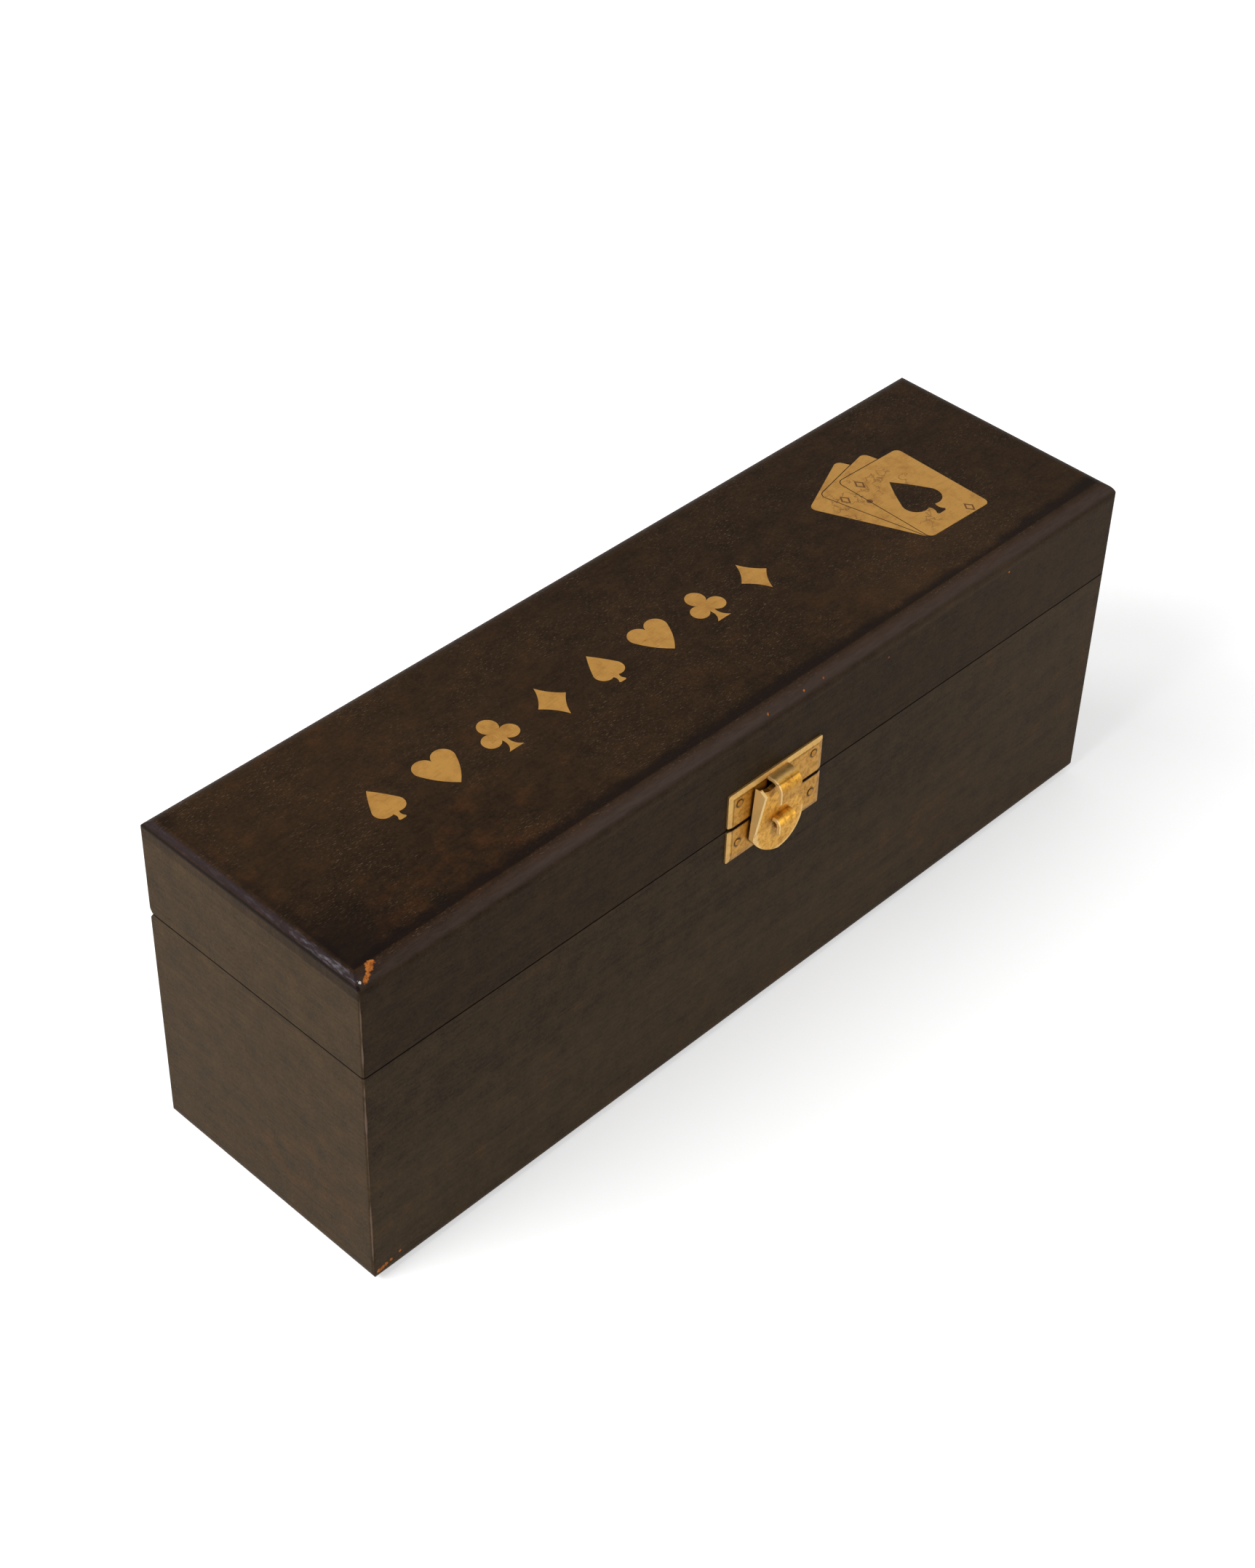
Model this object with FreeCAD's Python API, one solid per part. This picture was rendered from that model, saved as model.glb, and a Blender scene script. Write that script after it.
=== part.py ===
"""Cribbage box: hinged lid with inlaid cards, pegging board, end drawer and brass turn catch.

The frame has +X along the box to its right-hand end, -Y out of the front and +Z up.
The origin is the centre of the underside. All sizes are in millimetres.
"""
import FreeCAD
import Part
import math
import os

from FreeCAD import Vector

# Playing cards, which set the width of the drawer and so the depth of the box
CARD_WIDTH = 63.5
CARD_LENGTH = 88.9
CARD_CORNER = 3.2
DECK_THICKNESS = 16.0
CARD_SIDE_SLACK = 0.35
CARD_END_SLACK = 1.8

# Box of boards
LENGTH = 300.0
BASE_HEIGHT = 79.0
LID_HEIGHT = 33.0
WALL = 6.5
LID_TOP = 6.0
BOTTOM = 5.0
TOP_ROUND = 5.0
TOP_LEFT_ROUND = 2.5
BOTTOM_ROUND = 4.0
BOTTOM_END_ROUND = 4.8
CORNER_ROUND = 1.0
SHADOW_DEPTH = 0.35
SHADOW_HEIGHT = 0.2
BEVEL_DEPTH = 1.7
BEVEL_HEIGHT = 2.6

# Pegging board and pegs
BOARD = 15.0
BOARD_RECESS = 7.0
HOLE_RADIUS = 1.6
HOLE_DEPTH = 10.0
HOLE_PITCH = 7.0
GROUP_GAP = 3.0
GROUP_HOLES = 5
GROUPS = 6
GAME_HOLES = 10
ROW_SPACING = 8.0
TRACK_OFFSET = 17.0
START_GAP = 10.0
PEG_CLEARANCE = 0.05
PEG_FOOT_GAP = 0.4
PEG_EASE = 0.4
PEG_GRIP = 21.0
PEG_COLLAR_RADIUS = 2.2
PEG_COLLAR_HEIGHT = 2.0
PEG_WAIST_RADIUS = 1.35
PEG_FLARE = 1.5
PEG_KNOB_RADIUS = 2.5
PEG_KNOB_HEIGHT = 4.5
PEG_KNOB_DOME = 1.6

# Drawer
DRAWER_SIDE_GAP = 0.4
DRAWER_TOP_GAP = 0.8
DRAWER_FRONT = 7.0
DRAWER_SIDE = 3.0
DRAWER_FLOOR = 3.0
DIVIDER = 3.0
DIVIDER_DROP = 10.0
KNOB_RADIUS = 6.5
KNOB_LENGTH = 12.0
KNOB_DOME = 4.0
KNOB_FOOT_RADIUS = 4.5
KNOB_FOOT_LENGTH = 1.6
KNOB_NECK_RADIUS = 3.0
KNOB_NECK_LENGTH = 4.9
KNOB_EASE = 0.4
KNOB_FLARE = 1.5
KNOB_SCREW_RADIUS = 1.4
KNOB_SCREW_HEAD_RADIUS = 3.0
KNOB_SCREW_HEAD_HEIGHT = 1.4
KNOB_SCREW_DOME = 0.9
KNOB_SCREW_GRIP = 7.0

# Butt hinges, folded into the bevel at the back of the seam
HINGE_LENGTH = 25.0
HINGE_INSET = 60.0
KNUCKLE_RADIUS = 1.5
KNUCKLE_GAP = 0.15
LEAF_THICKNESS = 0.75
LEAF_GAP = 0.1
HINGE_PIN_RADIUS = 0.7
HINGE_PIN_CLEARANCE = 0.05
HINGE_SCREW_SPACING = 16.0
HINGE_SCREW_RADIUS = 0.6
HINGE_SCREW_HEAD = 1.2
HINGE_SCREW_LENGTH = 6.0

# Turn catch on the front
CATCH_WIDTH = 38.0
CATCH_PLATE_HEIGHT = 11.7
CATCH_PLATE = 1.0
CATCH_PLATE_CORNER = 0.6
CATCH_PLATE_BEVEL = 0.45
CATCH_BEVEL_WIDTH = 1.6
CATCH_SEAM_GAP = 0.9
CATCH_OVERLAP_GAP = 0.1
STRAP_WIDTH = 8.5
STRAP_THICKNESS = 0.9
STRAP_REACH = 6.5
STRAP_TOP = 11.6
STRAP_FOOT = 4.2
STRAP_BEND = 3.8
STRAP_EASE = 0.3
CATCH_WINDOW_GAP = 0.3
PIN_SPACING = 30.0
PIN_RADIUS = 0.6
PIN_HEAD_RADIUS = 1.0
PIN_HEAD_HEIGHT = 0.3
PIN_HEAD_DOME = 0.25
PIN_LENGTH = 5.5
LID_PIN_RISE = 8.5
BASE_PIN_DROP = 5.7
PIVOT_DROP = 6.3
HOOK_GAP = 0.6
HOOK_THICKNESS = 1.5
HOOK_DISC_RADIUS = 9.5
HOOK_NOSE_RADIUS = 15.1
HOOK_NOSE_RIGHT = 3.8
HOOK_NOSE_LEFT = -4.7
HOOK_SHOULDER = 6.7
HOOK_WING_DIP = 0.6
HOOK_TIP = (-9.5, 17.0)
HOOK_HEEL = (-11.0, -0.5)
HOOK_BELLY = (-6.6, -6.0)
HOOK_LIP_WIDTH = 1.0
HOOK_LIP_HEIGHT = 2.2
HOOK_LIP_RUN = 0.07
TAB_WIDTH = 7.0
TAB_BEND = 2.2
TAB_TOP = 3.8
TAB_FOOT = -0.9
TAB_REACH = 3.0
RIVET_RADIUS = 1.2
RIVET_CLEARANCE = 0.05
RIVET_HEAD_RADIUS = 1.9
RIVET_HEAD_HEIGHT = 0.7
RIVET_DOME = 0.4
RIVET_TAIL = 4.0

# Inlays, let in flush with the top
INLAY_DEPTH = 0.8
PIP_HEIGHT = 14.4
PIP_PITCH = 20.0
PIP_COUNT = 8
PIP_START = 48.0
PIP_FROM_FRONT = 44.0
FAN_CARD_WIDTH = 26.0
FAN_CARD_LENGTH = 36.8
FAN_CARD_CORNER = 2.0
FAN_ANGLES = (-1.8, 12.0, 24.0)
FAN_FROM_LEFT = 238.6
FAN_FROM_FRONT = 21.1
FAN_GAP = 0.3
FAN_SPADE_HEIGHT = 20.5
FAN_SPADE_LEFT = 1.2
FAN_SPADE_DROP = 2.0

# Sizes that follow from the ones above
DEPTH = CARD_WIDTH + 2 * (CARD_SIDE_SLACK + DRAWER_SIDE + DRAWER_SIDE_GAP + WALL)
HEIGHT = BASE_HEIGHT + LID_HEIGHT
RIGHT = LENGTH / 2
BACK = DEPTH / 2
INNER_RIGHT = RIGHT - WALL
INNER_BACK = BACK - WALL
SEAM = BASE_HEIGHT
TOP_JOINT = HEIGHT - LID_TOP
BOARD_TOP = SEAM - BOARD_RECESS
BAY_TOP = BOARD_TOP - BOARD
AXIS_Y = BACK - BEVEL_DEPTH
DRAWER_OUTER = INNER_BACK - DRAWER_SIDE_GAP
DRAWER_INNER = DRAWER_OUTER - DRAWER_SIDE
DRAWER_RIM = BAY_TOP - DRAWER_TOP_GAP
DRAWER_FLOOR_TOP = BOTTOM + DRAWER_FLOOR
DRAWER_MOUTH = RIGHT - DRAWER_FRONT
DECK_BAY = CARD_LENGTH + 2 * CARD_END_SLACK
PIVOT_Z = SEAM - PIVOT_DROP
HOOK_BACK = CATCH_PLATE + HOOK_GAP
HOOK_FACE = HOOK_BACK + HOOK_THICKNESS
PEG_RADIUS = HOLE_RADIUS - PEG_CLEARANCE
KNOB_Z = (BOTTOM + DRAWER_RIM) / 2

AXES = {"X": Vector(1, 0, 0), "Y": Vector(0, 1, 0), "Z": Vector(0, 0, 1)}
TOUCH = 1e-6


# ---------------------------------------------------------------------- shapes from outlines

def spot(along, u, v, w):
    """Point at u and v across an axis and at w along it."""
    return {"X": Vector(w, u, v), "Y": Vector(u, w, v), "Z": Vector(u, v, w)}[along]


def rounded(corners, along, level):
    """Closed wire through (u, v, radius) corners, in the plane across an axis at a level."""
    flat = [Vector(u, v, 0) for u, v, _ in corners]
    turns = []
    for i, (_, _, radius) in enumerate(corners):
        back = (flat[i - 1] - flat[i]).normalize()
        onward = (flat[(i + 1) % len(flat)] - flat[i]).normalize()
        half = back.getAngle(onward) / 2
        crown = flat[i] + (back + onward).normalize() * (radius / math.sin(half) - radius)
        reach = radius / math.tan(half)
        turns.append((flat[i] + back * reach, crown, flat[i] + onward * reach, radius))
    edges = []
    for i, (start, crown, end, radius) in enumerate(turns):
        start, crown, end = (spot(along, p.x, p.y, level) for p in (start, crown, end))
        following = turns[(i + 1) % len(turns)][0]
        following = spot(along, following.x, following.y, level)
        if radius > 0:
            edges.append(Part.Arc(start, crown, end).toShape())
        if (following - end).Length > TOUCH:
            edges.append(Part.LineSegment(end, following).toShape())
    return Part.Wire(edges)


def prism(corners, along, low, high):
    """Outline of (u, v, radius) corners, drawn out along an axis from low to high."""
    return Part.Face(rounded(corners, along, low)).extrude(AXES[along] * (high - low))


def block(x, y, z):
    """Box between a low and a high limit on each axis."""
    return Part.makeBox(x[1] - x[0], y[1] - y[0], z[1] - z[0], Vector(x[0], y[0], z[0]))


def rod(radius, start, end):
    """Cylinder from one point to another."""
    return Part.makeCylinder(radius, (end - start).Length, start, end - start)


def rectangle(u, v, radius):
    """Corners of a rectangle between two limits each way, all rounded alike."""
    return [(u[0], v[0], radius), (u[1], v[0], radius), (u[1], v[1], radius), (u[0], v[1], radius)]


def turned(corners, seat, direction):
    """Solid turned from a (radius, height, round) outline, seated at a point and facing a way."""
    solid = Part.Face(rounded(corners, "Y", 0)).revolve(Vector(0, 0, 0), AXES["Z"], 360)
    solid.Placement = FreeCAD.Placement(seat, FreeCAD.Rotation(AXES["Z"], direction))
    return solid


def path(start, steps, along, level):
    """Edges from a point through steps, each an end point or a (middle, end) pair for an arc."""
    edges = []
    here = start
    for step in steps:
        if isinstance(step[0], tuple):
            middle, end = step
            ends = [spot(along, u, v, level) for u, v in (here, middle, end)]
            edges.append(Part.Arc(*ends).toShape())
        else:
            end = step
            edges.append(Part.LineSegment(spot(along, *here, level), spot(along, *end, level)).toShape())
        here = end
    return edges


# ---------------------------------------------------------------------- boards of the box

def plan_prism(low, high):
    """Upright block of the box's outline from above, with its eased upright edges."""
    return prism(rectangle((-RIGHT, RIGHT), (-BACK, BACK), CORNER_ROUND), "Z", low, high)


def shadow_line(low, high):
    """Ring that cuts a shallow groove around the outside of the box."""
    outer = block((-LENGTH, LENGTH), (-DEPTH, DEPTH), (low, high))
    reach_x = RIGHT - SHADOW_DEPTH
    reach_y = BACK - SHADOW_DEPTH
    return outer.cut(block((-reach_x, reach_x), (-reach_y, reach_y), (low, high)))


def base_envelope():
    """Outer form of the base: rounded foot all round, bevelled at the back of the seam."""
    section = [(-BACK, 0, BOTTOM_ROUND), (BACK, 0, BOTTOM_ROUND), (BACK, SEAM - BEVEL_HEIGHT, 0),
               (AXIS_Y, SEAM, 0), (-BACK, SEAM, 0)]
    profile = [(-RIGHT, 0, BOTTOM_END_ROUND), (RIGHT, 0, BOTTOM_END_ROUND), (RIGHT, SEAM, 0),
               (-RIGHT, SEAM, 0)]
    form = prism(section, "X", -RIGHT, RIGHT).common(prism(profile, "Y", -BACK, BACK))
    form = form.common(plan_prism(0, SEAM))
    return form.cut(shadow_line(SEAM - SHADOW_HEIGHT, SEAM))


def lid_envelope():
    """Outer form of the lid: top rounded but for its left-hand end, which is eased, back bevelled."""
    section = [(-BACK, SEAM, 0), (AXIS_Y, SEAM, 0), (BACK, SEAM + BEVEL_HEIGHT, 0),
               (BACK, HEIGHT, TOP_ROUND), (-BACK, HEIGHT, TOP_ROUND)]
    profile = [(-RIGHT, SEAM, 0), (RIGHT, SEAM, 0), (RIGHT, HEIGHT, TOP_ROUND),
               (-RIGHT, HEIGHT, TOP_LEFT_ROUND)]
    form = prism(section, "X", -RIGHT, RIGHT).common(prism(profile, "Y", -BACK, BACK))
    form = form.common(plan_prism(SEAM, HEIGHT))
    return form.cut(shadow_line(SEAM, SEAM + SHADOW_HEIGHT))


def long_board(side, mitred_right, low, high):
    """Region of a front (side -1) or back (side +1) board, mitred at the left-hand end."""
    inner_right = INNER_RIGHT if mitred_right else RIGHT
    corners = [(-RIGHT, side * BACK, 0), (RIGHT, side * BACK, 0), (inner_right, side * INNER_BACK, 0),
               (-INNER_RIGHT, side * INNER_BACK, 0)]
    return prism(corners, "Z", low, high)


def end_board(side, low, high):
    """Region of a left (side -1) or right (side +1) end board with both corners mitred."""
    corners = [(side * RIGHT, -BACK, 0), (side * RIGHT, BACK, 0), (side * INNER_RIGHT, INNER_BACK, 0),
               (side * INNER_RIGHT, -INNER_BACK, 0)]
    return prism(corners, "Z", low, high)


def base_boards():
    """The base's four walls and its bottom board."""
    form = base_envelope()
    rail = block((INNER_RIGHT, RIGHT), (-INNER_BACK, INNER_BACK), (BAY_TOP, SEAM))
    bottom = block((-INNER_RIGHT, RIGHT), (-INNER_BACK, INNER_BACK), (0, BOTTOM))
    front = form.common(long_board(-1, False, 0, SEAM))
    back = form.common(long_board(1, False, 0, SEAM))
    return {
        "base_front": front.cut(Part.makeCompound(base_pin_shanks() + [rivet_shank()])),
        "base_back": back.cut(Part.makeCompound(hinge_pockets(-1))),
        "base_left_end": form.common(end_board(-1, 0, SEAM)),
        "base_right_rail": form.common(rail),
        "base_bottom": form.common(bottom),
    }


def lid_boards():
    """The lid's top board, with its inlays let in, and the four boards under it."""
    form = lid_envelope()
    top = form.common(block((-RIGHT, RIGHT), (-BACK, BACK), (TOP_JOINT, HEIGHT)))
    front = form.common(long_board(-1, True, SEAM, TOP_JOINT))
    back = form.common(long_board(1, True, SEAM, TOP_JOINT))
    return {
        "lid_top": top.cut(Part.makeCompound(pip_inlays() + fan_inlays())),
        "lid_front": front.cut(Part.makeCompound(lid_pin_shanks())),
        "lid_back": back.cut(Part.makeCompound(hinge_pockets(1))),
        "lid_left_end": form.common(end_board(-1, SEAM, TOP_JOINT)),
        "lid_right_end": form.common(end_board(1, SEAM, TOP_JOINT)),
    }


# ---------------------------------------------------------------------- inlays

def mirrored_prism(start, steps, centre, height):
    """Flush inlay from the left half of an outline in parts of its height, mirrored."""
    half = path(start, steps, "Z", 0)
    whole = half + [edge.mirror(Vector(0, 0, 0), AXES["X"]) for edge in half]
    face = Part.Face(Part.Wire(Part.__sortEdges__(whole)))
    face.scale(height)
    face.translate(Vector(centre.x, centre.y, HEIGHT - INLAY_DEPTH))
    return face.extrude(Vector(0, 0, INLAY_DEPTH))


def spade(centre, height):
    steps = [((-0.165, 0.26), (-0.31, 0.01)), ((-0.29, -0.25), (-0.07, -0.30)),
             ((-0.05, -0.38), (-0.085, -0.46)), ((-0.075, -0.49), (-0.05, -0.50)), (0.0, -0.50)]
    return mirrored_prism((0.0, 0.50), steps, centre, height)


def heart(centre, height):
    steps = [((-0.27, 0.46), (-0.45, 0.14)), ((-0.27, -0.19), (0.0, -0.50))]
    return mirrored_prism((0.0, 0.28), steps, centre, height)


def diamond(centre, height):
    steps = [((-0.16, 0.21), (-0.36, 0.0)), ((-0.16, -0.21), (0.0, -0.50))]
    return mirrored_prism((0.0, 0.50), steps, centre, height)


def club(centre, height):
    steps = [((-0.21, 0.29), (-0.12, 0.10)), ((-0.42, -0.02), (-0.06, -0.17)),
             ((-0.08, -0.38), (-0.18, -0.50)), (0.0, -0.50)]
    return mirrored_prism((0.0, 0.50), steps, centre, height)


def pip_inlays():
    """Row of suit signs along the top."""
    suits = (spade, heart, club, diamond)
    y = PIP_FROM_FRONT - BACK
    return [suits[i % len(suits)](Vector(PIP_START + i * PIP_PITCH - RIGHT, y, 0), PIP_HEIGHT)
            for i in range(PIP_COUNT)]


def fan_card(angle, margin):
    """One card of the fan, turned about the fan's lower left corner, with a margin all round."""
    u = (-margin, FAN_CARD_WIDTH + margin)
    v = (-margin, FAN_CARD_LENGTH + margin)
    card = prism(rectangle(u, v, FAN_CARD_CORNER + margin), "Z", HEIGHT - INLAY_DEPTH, HEIGHT)
    card.rotate(Vector(0, 0, 0), AXES["Z"], angle)
    card.translate(Vector(FAN_FROM_LEFT - RIGHT, FAN_FROM_FRONT - BACK, 0))
    return card


def fan_inlays():
    """Three fanned cards, the front one pierced by a spade and the others showing beside it."""
    cards = []
    covered = []
    for angle in FAN_ANGLES:
        card = fan_card(angle, 0)
        for above in covered:
            card = card.cut(above)
        cards.append(card)
        covered.append(fan_card(angle, FAN_GAP))
    turn = FreeCAD.Rotation(AXES["Z"], FAN_ANGLES[0])
    u = FAN_CARD_WIDTH / 2 - FAN_SPADE_LEFT
    v = FAN_CARD_LENGTH / 2 - FAN_SPADE_DROP
    centre = turn.multVec(Vector(u, v, 0)) + Vector(FAN_FROM_LEFT - RIGHT, FAN_FROM_FRONT - BACK, 0)
    cards[0] = cards[0].cut(spade(centre, FAN_SPADE_HEIGHT))
    return [solid for card in cards for solid in card.Solids]


# ---------------------------------------------------------------------- pegging board and pegs

def hole_line():
    """Places along the board of a row of holes in groups."""
    places = [i * HOLE_PITCH + (i // GROUP_HOLES) * GROUP_GAP for i in range(GROUPS * GROUP_HOLES)]
    return [place - places[-1] / 2 for place in places]


def track_rows():
    """The four rows of the two players' tracks."""
    return [side * TRACK_OFFSET + edge * ROW_SPACING / 2 for side in (-1, 1) for edge in (-1, 1)]


def start_place():
    """Place along the board of the starting holes."""
    return hole_line()[0] - START_GAP


def hole_places():
    """Every hole: the tracks, their starting holes, the game row and the finishing holes."""
    line = hole_line()
    tracks = [(x, y) for x in line + [start_place()] for y in track_rows()]
    games = [(x, 0) for x in line[:GAME_HOLES]]
    finish = [(start_place(), 0), (line[-1] + START_GAP, 0)]
    return tracks + games + finish


def pegging_board():
    """Plank fixed under the rim, drilled for the pegs."""
    plank = block((-INNER_RIGHT, INNER_RIGHT), (-INNER_BACK, INNER_BACK), (BAY_TOP, BOARD_TOP))
    holes = [rod(HOLE_RADIUS, Vector(x, y, BOARD_TOP - HOLE_DEPTH), Vector(x, y, BOARD_TOP))
             for x, y in hole_places()]
    return plank.cut(Part.makeCompound(holes))


def peg(x, y):
    """Turned peg standing in a hole."""
    foot = PEG_FOOT_GAP - HOLE_DEPTH
    knob = PEG_GRIP - PEG_KNOB_HEIGHT
    corners = [(0, foot, 0), (PEG_RADIUS, foot, PEG_EASE), (PEG_RADIUS, 0, 0),
               (PEG_COLLAR_RADIUS, 0, 0), (PEG_COLLAR_RADIUS, PEG_COLLAR_HEIGHT, PEG_EASE),
               (PEG_WAIST_RADIUS, PEG_COLLAR_HEIGHT, PEG_EASE),
               (PEG_WAIST_RADIUS, knob - PEG_FLARE, PEG_EASE), (PEG_KNOB_RADIUS, knob, PEG_EASE),
               (PEG_KNOB_RADIUS, PEG_GRIP, PEG_KNOB_DOME), (0, PEG_GRIP, 0)]
    return turned(corners, Vector(x, y, BOARD_TOP), AXES["Z"])


def pegs():
    """Four pegs in the starting holes and two in the first holes of the game row."""
    places = [(start_place(), y) for y in track_rows()]
    places += [(x, 0) for x in hole_line()[:2]]
    return {f"peg_{i}": peg(x, y) for i, (x, y) in enumerate(places, 1)}


# ---------------------------------------------------------------------- drawer

def drawer_bay_walls():
    """Left face of each divider, counted from the drawer's back."""
    first = DRAWER_SIDE - INNER_RIGHT + DECK_BAY
    return [first, first + DIVIDER + DECK_BAY]


def drawer():
    """Drawer boards, knob and the knob's screw."""
    width = (-DRAWER_INNER, DRAWER_INNER)
    floor_start = DRAWER_SIDE - INNER_RIGHT
    front = block((DRAWER_MOUTH, RIGHT), (-DRAWER_OUTER, DRAWER_OUTER), (BOTTOM, DRAWER_RIM))
    screw = knob_screw()
    pieces = {
        "drawer_front": front.cut(screw),
        "drawer_back": block((-INNER_RIGHT, floor_start), width, (BOTTOM, DRAWER_RIM)),
        "drawer_bottom": block((floor_start, DRAWER_MOUTH), width, (BOTTOM, DRAWER_FLOOR_TOP)),
        "drawer_knob": drawer_knob().cut(screw),
        "drawer_knob_screw": screw,
    }
    for name, side in (("front", -1), ("back", 1)):
        span = sorted((side * DRAWER_INNER, side * DRAWER_OUTER))
        pieces[f"drawer_side_{name}"] = block((-INNER_RIGHT, DRAWER_MOUTH), span, (BOTTOM, DRAWER_RIM))
    for i, x in enumerate(drawer_bay_walls(), 1):
        height = (DRAWER_FLOOR_TOP, DRAWER_RIM - DIVIDER_DROP)
        pieces[f"drawer_divider_{i}"] = block((x, x + DIVIDER), width, height)
    return pieces


def drawer_knob():
    """Turned knob on the drawer's front."""
    foot = KNOB_FOOT_LENGTH
    corners = [(0, 0, 0), (KNOB_FOOT_RADIUS, 0, KNOB_EASE), (KNOB_FOOT_RADIUS, foot, KNOB_EASE),
               (KNOB_NECK_RADIUS, foot, KNOB_EASE), (KNOB_NECK_RADIUS, KNOB_NECK_LENGTH, KNOB_EASE),
               (KNOB_RADIUS, KNOB_NECK_LENGTH + KNOB_FLARE, KNOB_EASE),
               (KNOB_RADIUS, KNOB_LENGTH, KNOB_DOME), (0, KNOB_LENGTH, 0)]
    return turned(corners, Vector(RIGHT, 0, KNOB_Z), AXES["X"])


def knob_screw():
    """Screw from inside the drawer, through its front and into the knob."""
    length = DRAWER_FRONT + KNOB_SCREW_GRIP
    top = -KNOB_SCREW_HEAD_HEIGHT
    corners = [(0, top, 0), (KNOB_SCREW_HEAD_RADIUS, top, KNOB_SCREW_DOME), (KNOB_SCREW_HEAD_RADIUS, 0, 0),
               (KNOB_SCREW_RADIUS, 0, 0), (KNOB_SCREW_RADIUS, length, KNOB_EASE), (0, length, 0)]
    return turned(corners, Vector(DRAWER_MOUTH, 0, KNOB_Z), AXES["X"])


def card_decks():
    """Two decks lying in the drawer's two card bays."""
    decks = {}
    starts = [DRAWER_SIDE - INNER_RIGHT, drawer_bay_walls()[0] + DIVIDER]
    for i, start in enumerate(starts, 1):
        x = (start + CARD_END_SLACK, start + CARD_END_SLACK + CARD_LENGTH)
        corners = rectangle(x, (-CARD_WIDTH / 2, CARD_WIDTH / 2), CARD_CORNER)
        decks[f"card_deck_{i}"] = prism(corners, "Z", DRAWER_FLOOR_TOP, DRAWER_FLOOR_TOP + DECK_THICKNESS)
    return decks


# ---------------------------------------------------------------------- hinges

def hinge_centres():
    return {"left": HINGE_INSET - RIGHT, "right": RIGHT - HINGE_INSET}


def axis_rod(radius, start, end):
    """Cylinder on the hinge axis."""
    return rod(radius, Vector(start, AXIS_Y, SEAM), Vector(end, AXIS_Y, SEAM))


def leaf_plate(centre, side, gap):
    """Flat of a leaf above (side +1) or below (side -1) the seam."""
    z = sorted((SEAM + side * gap, SEAM + side * (LEAF_GAP / 2 + LEAF_THICKNESS)))
    return block((centre - HINGE_LENGTH / 2, centre + HINGE_LENGTH / 2), (INNER_BACK, AXIS_Y), z)


def knuckle_ends(centre):
    """The three knuckles along a hinge: outer ones for the base, the middle one for the lid."""
    step = HINGE_LENGTH / 3
    low = centre - HINGE_LENGTH / 2
    return [(low + i * step + KNUCKLE_GAP * (i > 0), low + (i + 1) * step - KNUCKLE_GAP * (i < 2))
            for i in range(3)]


def hinge_screws(centre, side):
    """Countersunk screws through a leaf, heads flush with its face."""
    y = (INNER_BACK + AXIS_Y - KNUCKLE_RADIUS) / 2
    depth = LEAF_THICKNESS
    corners = [(0, 0, 0), (HINGE_SCREW_HEAD, 0, 0), (HINGE_SCREW_RADIUS, depth, 0),
               (HINGE_SCREW_RADIUS, HINGE_SCREW_LENGTH, 0), (0, HINGE_SCREW_LENGTH + HINGE_SCREW_RADIUS, 0)]
    return [turned(corners, Vector(centre + end * HINGE_SCREW_SPACING / 2, y, SEAM + side * LEAF_GAP / 2),
                   AXES["Z"] * side)
            for end in (-1, 1)]


def hinge_pockets(side):
    """What a back board loses to both hinges: leaf beds, knuckle troughs and screw holes."""
    cuts = []
    for centre in hinge_centres().values():
        cuts.append(leaf_plate(centre, side, 0))
        half = HINGE_LENGTH / 2
        cuts.append(axis_rod(KNUCKLE_RADIUS + KNUCKLE_GAP, centre - half, centre + half))
        cuts += hinge_screws(centre, side)
    return cuts


def hinge_leaf(centre, side):
    """Leaf for the lid (side +1, middle knuckle) or the base (side -1, outer knuckles)."""
    leaf = leaf_plate(centre, side, LEAF_GAP / 2)
    for i, (start, end) in enumerate(knuckle_ends(centre)):
        own = (i == 1) == (side == 1)
        if own:
            leaf = leaf.fuse(axis_rod(KNUCKLE_RADIUS, start, end))
        else:
            room = 2 * KNUCKLE_GAP
            leaf = leaf.cut(axis_rod(KNUCKLE_RADIUS + KNUCKLE_GAP, start - room, end + room))
    half = HINGE_LENGTH / 2
    leaf = leaf.cut(axis_rod(HINGE_PIN_RADIUS + HINGE_PIN_CLEARANCE, centre - half, centre + half))
    return leaf.cut(Part.makeCompound(hinge_screws(centre, side))).removeSplitter()


def hinges():
    """Leaves and pins of both hinges, with the screws of each board together."""
    pieces = {}
    for name, centre in hinge_centres().items():
        half = HINGE_LENGTH / 2
        pieces[f"hinge_{name}_base_leaf"] = hinge_leaf(centre, -1)
        pieces[f"hinge_{name}_lid_leaf"] = hinge_leaf(centre, 1)
        pieces[f"hinge_{name}_pin"] = axis_rod(HINGE_PIN_RADIUS, centre - half, centre + half)
    for name, side in (("base", -1), ("lid", 1)):
        screws = [screw for centre in hinge_centres().values() for screw in hinge_screws(centre, side)]
        pieces[f"hinge_screws_{name}"] = Part.makeCompound(screws)
    return pieces


# ---------------------------------------------------------------------- turn catch

def out(distance):
    """Place in Y at a distance out from the front of the box."""
    return -BACK - distance


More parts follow.
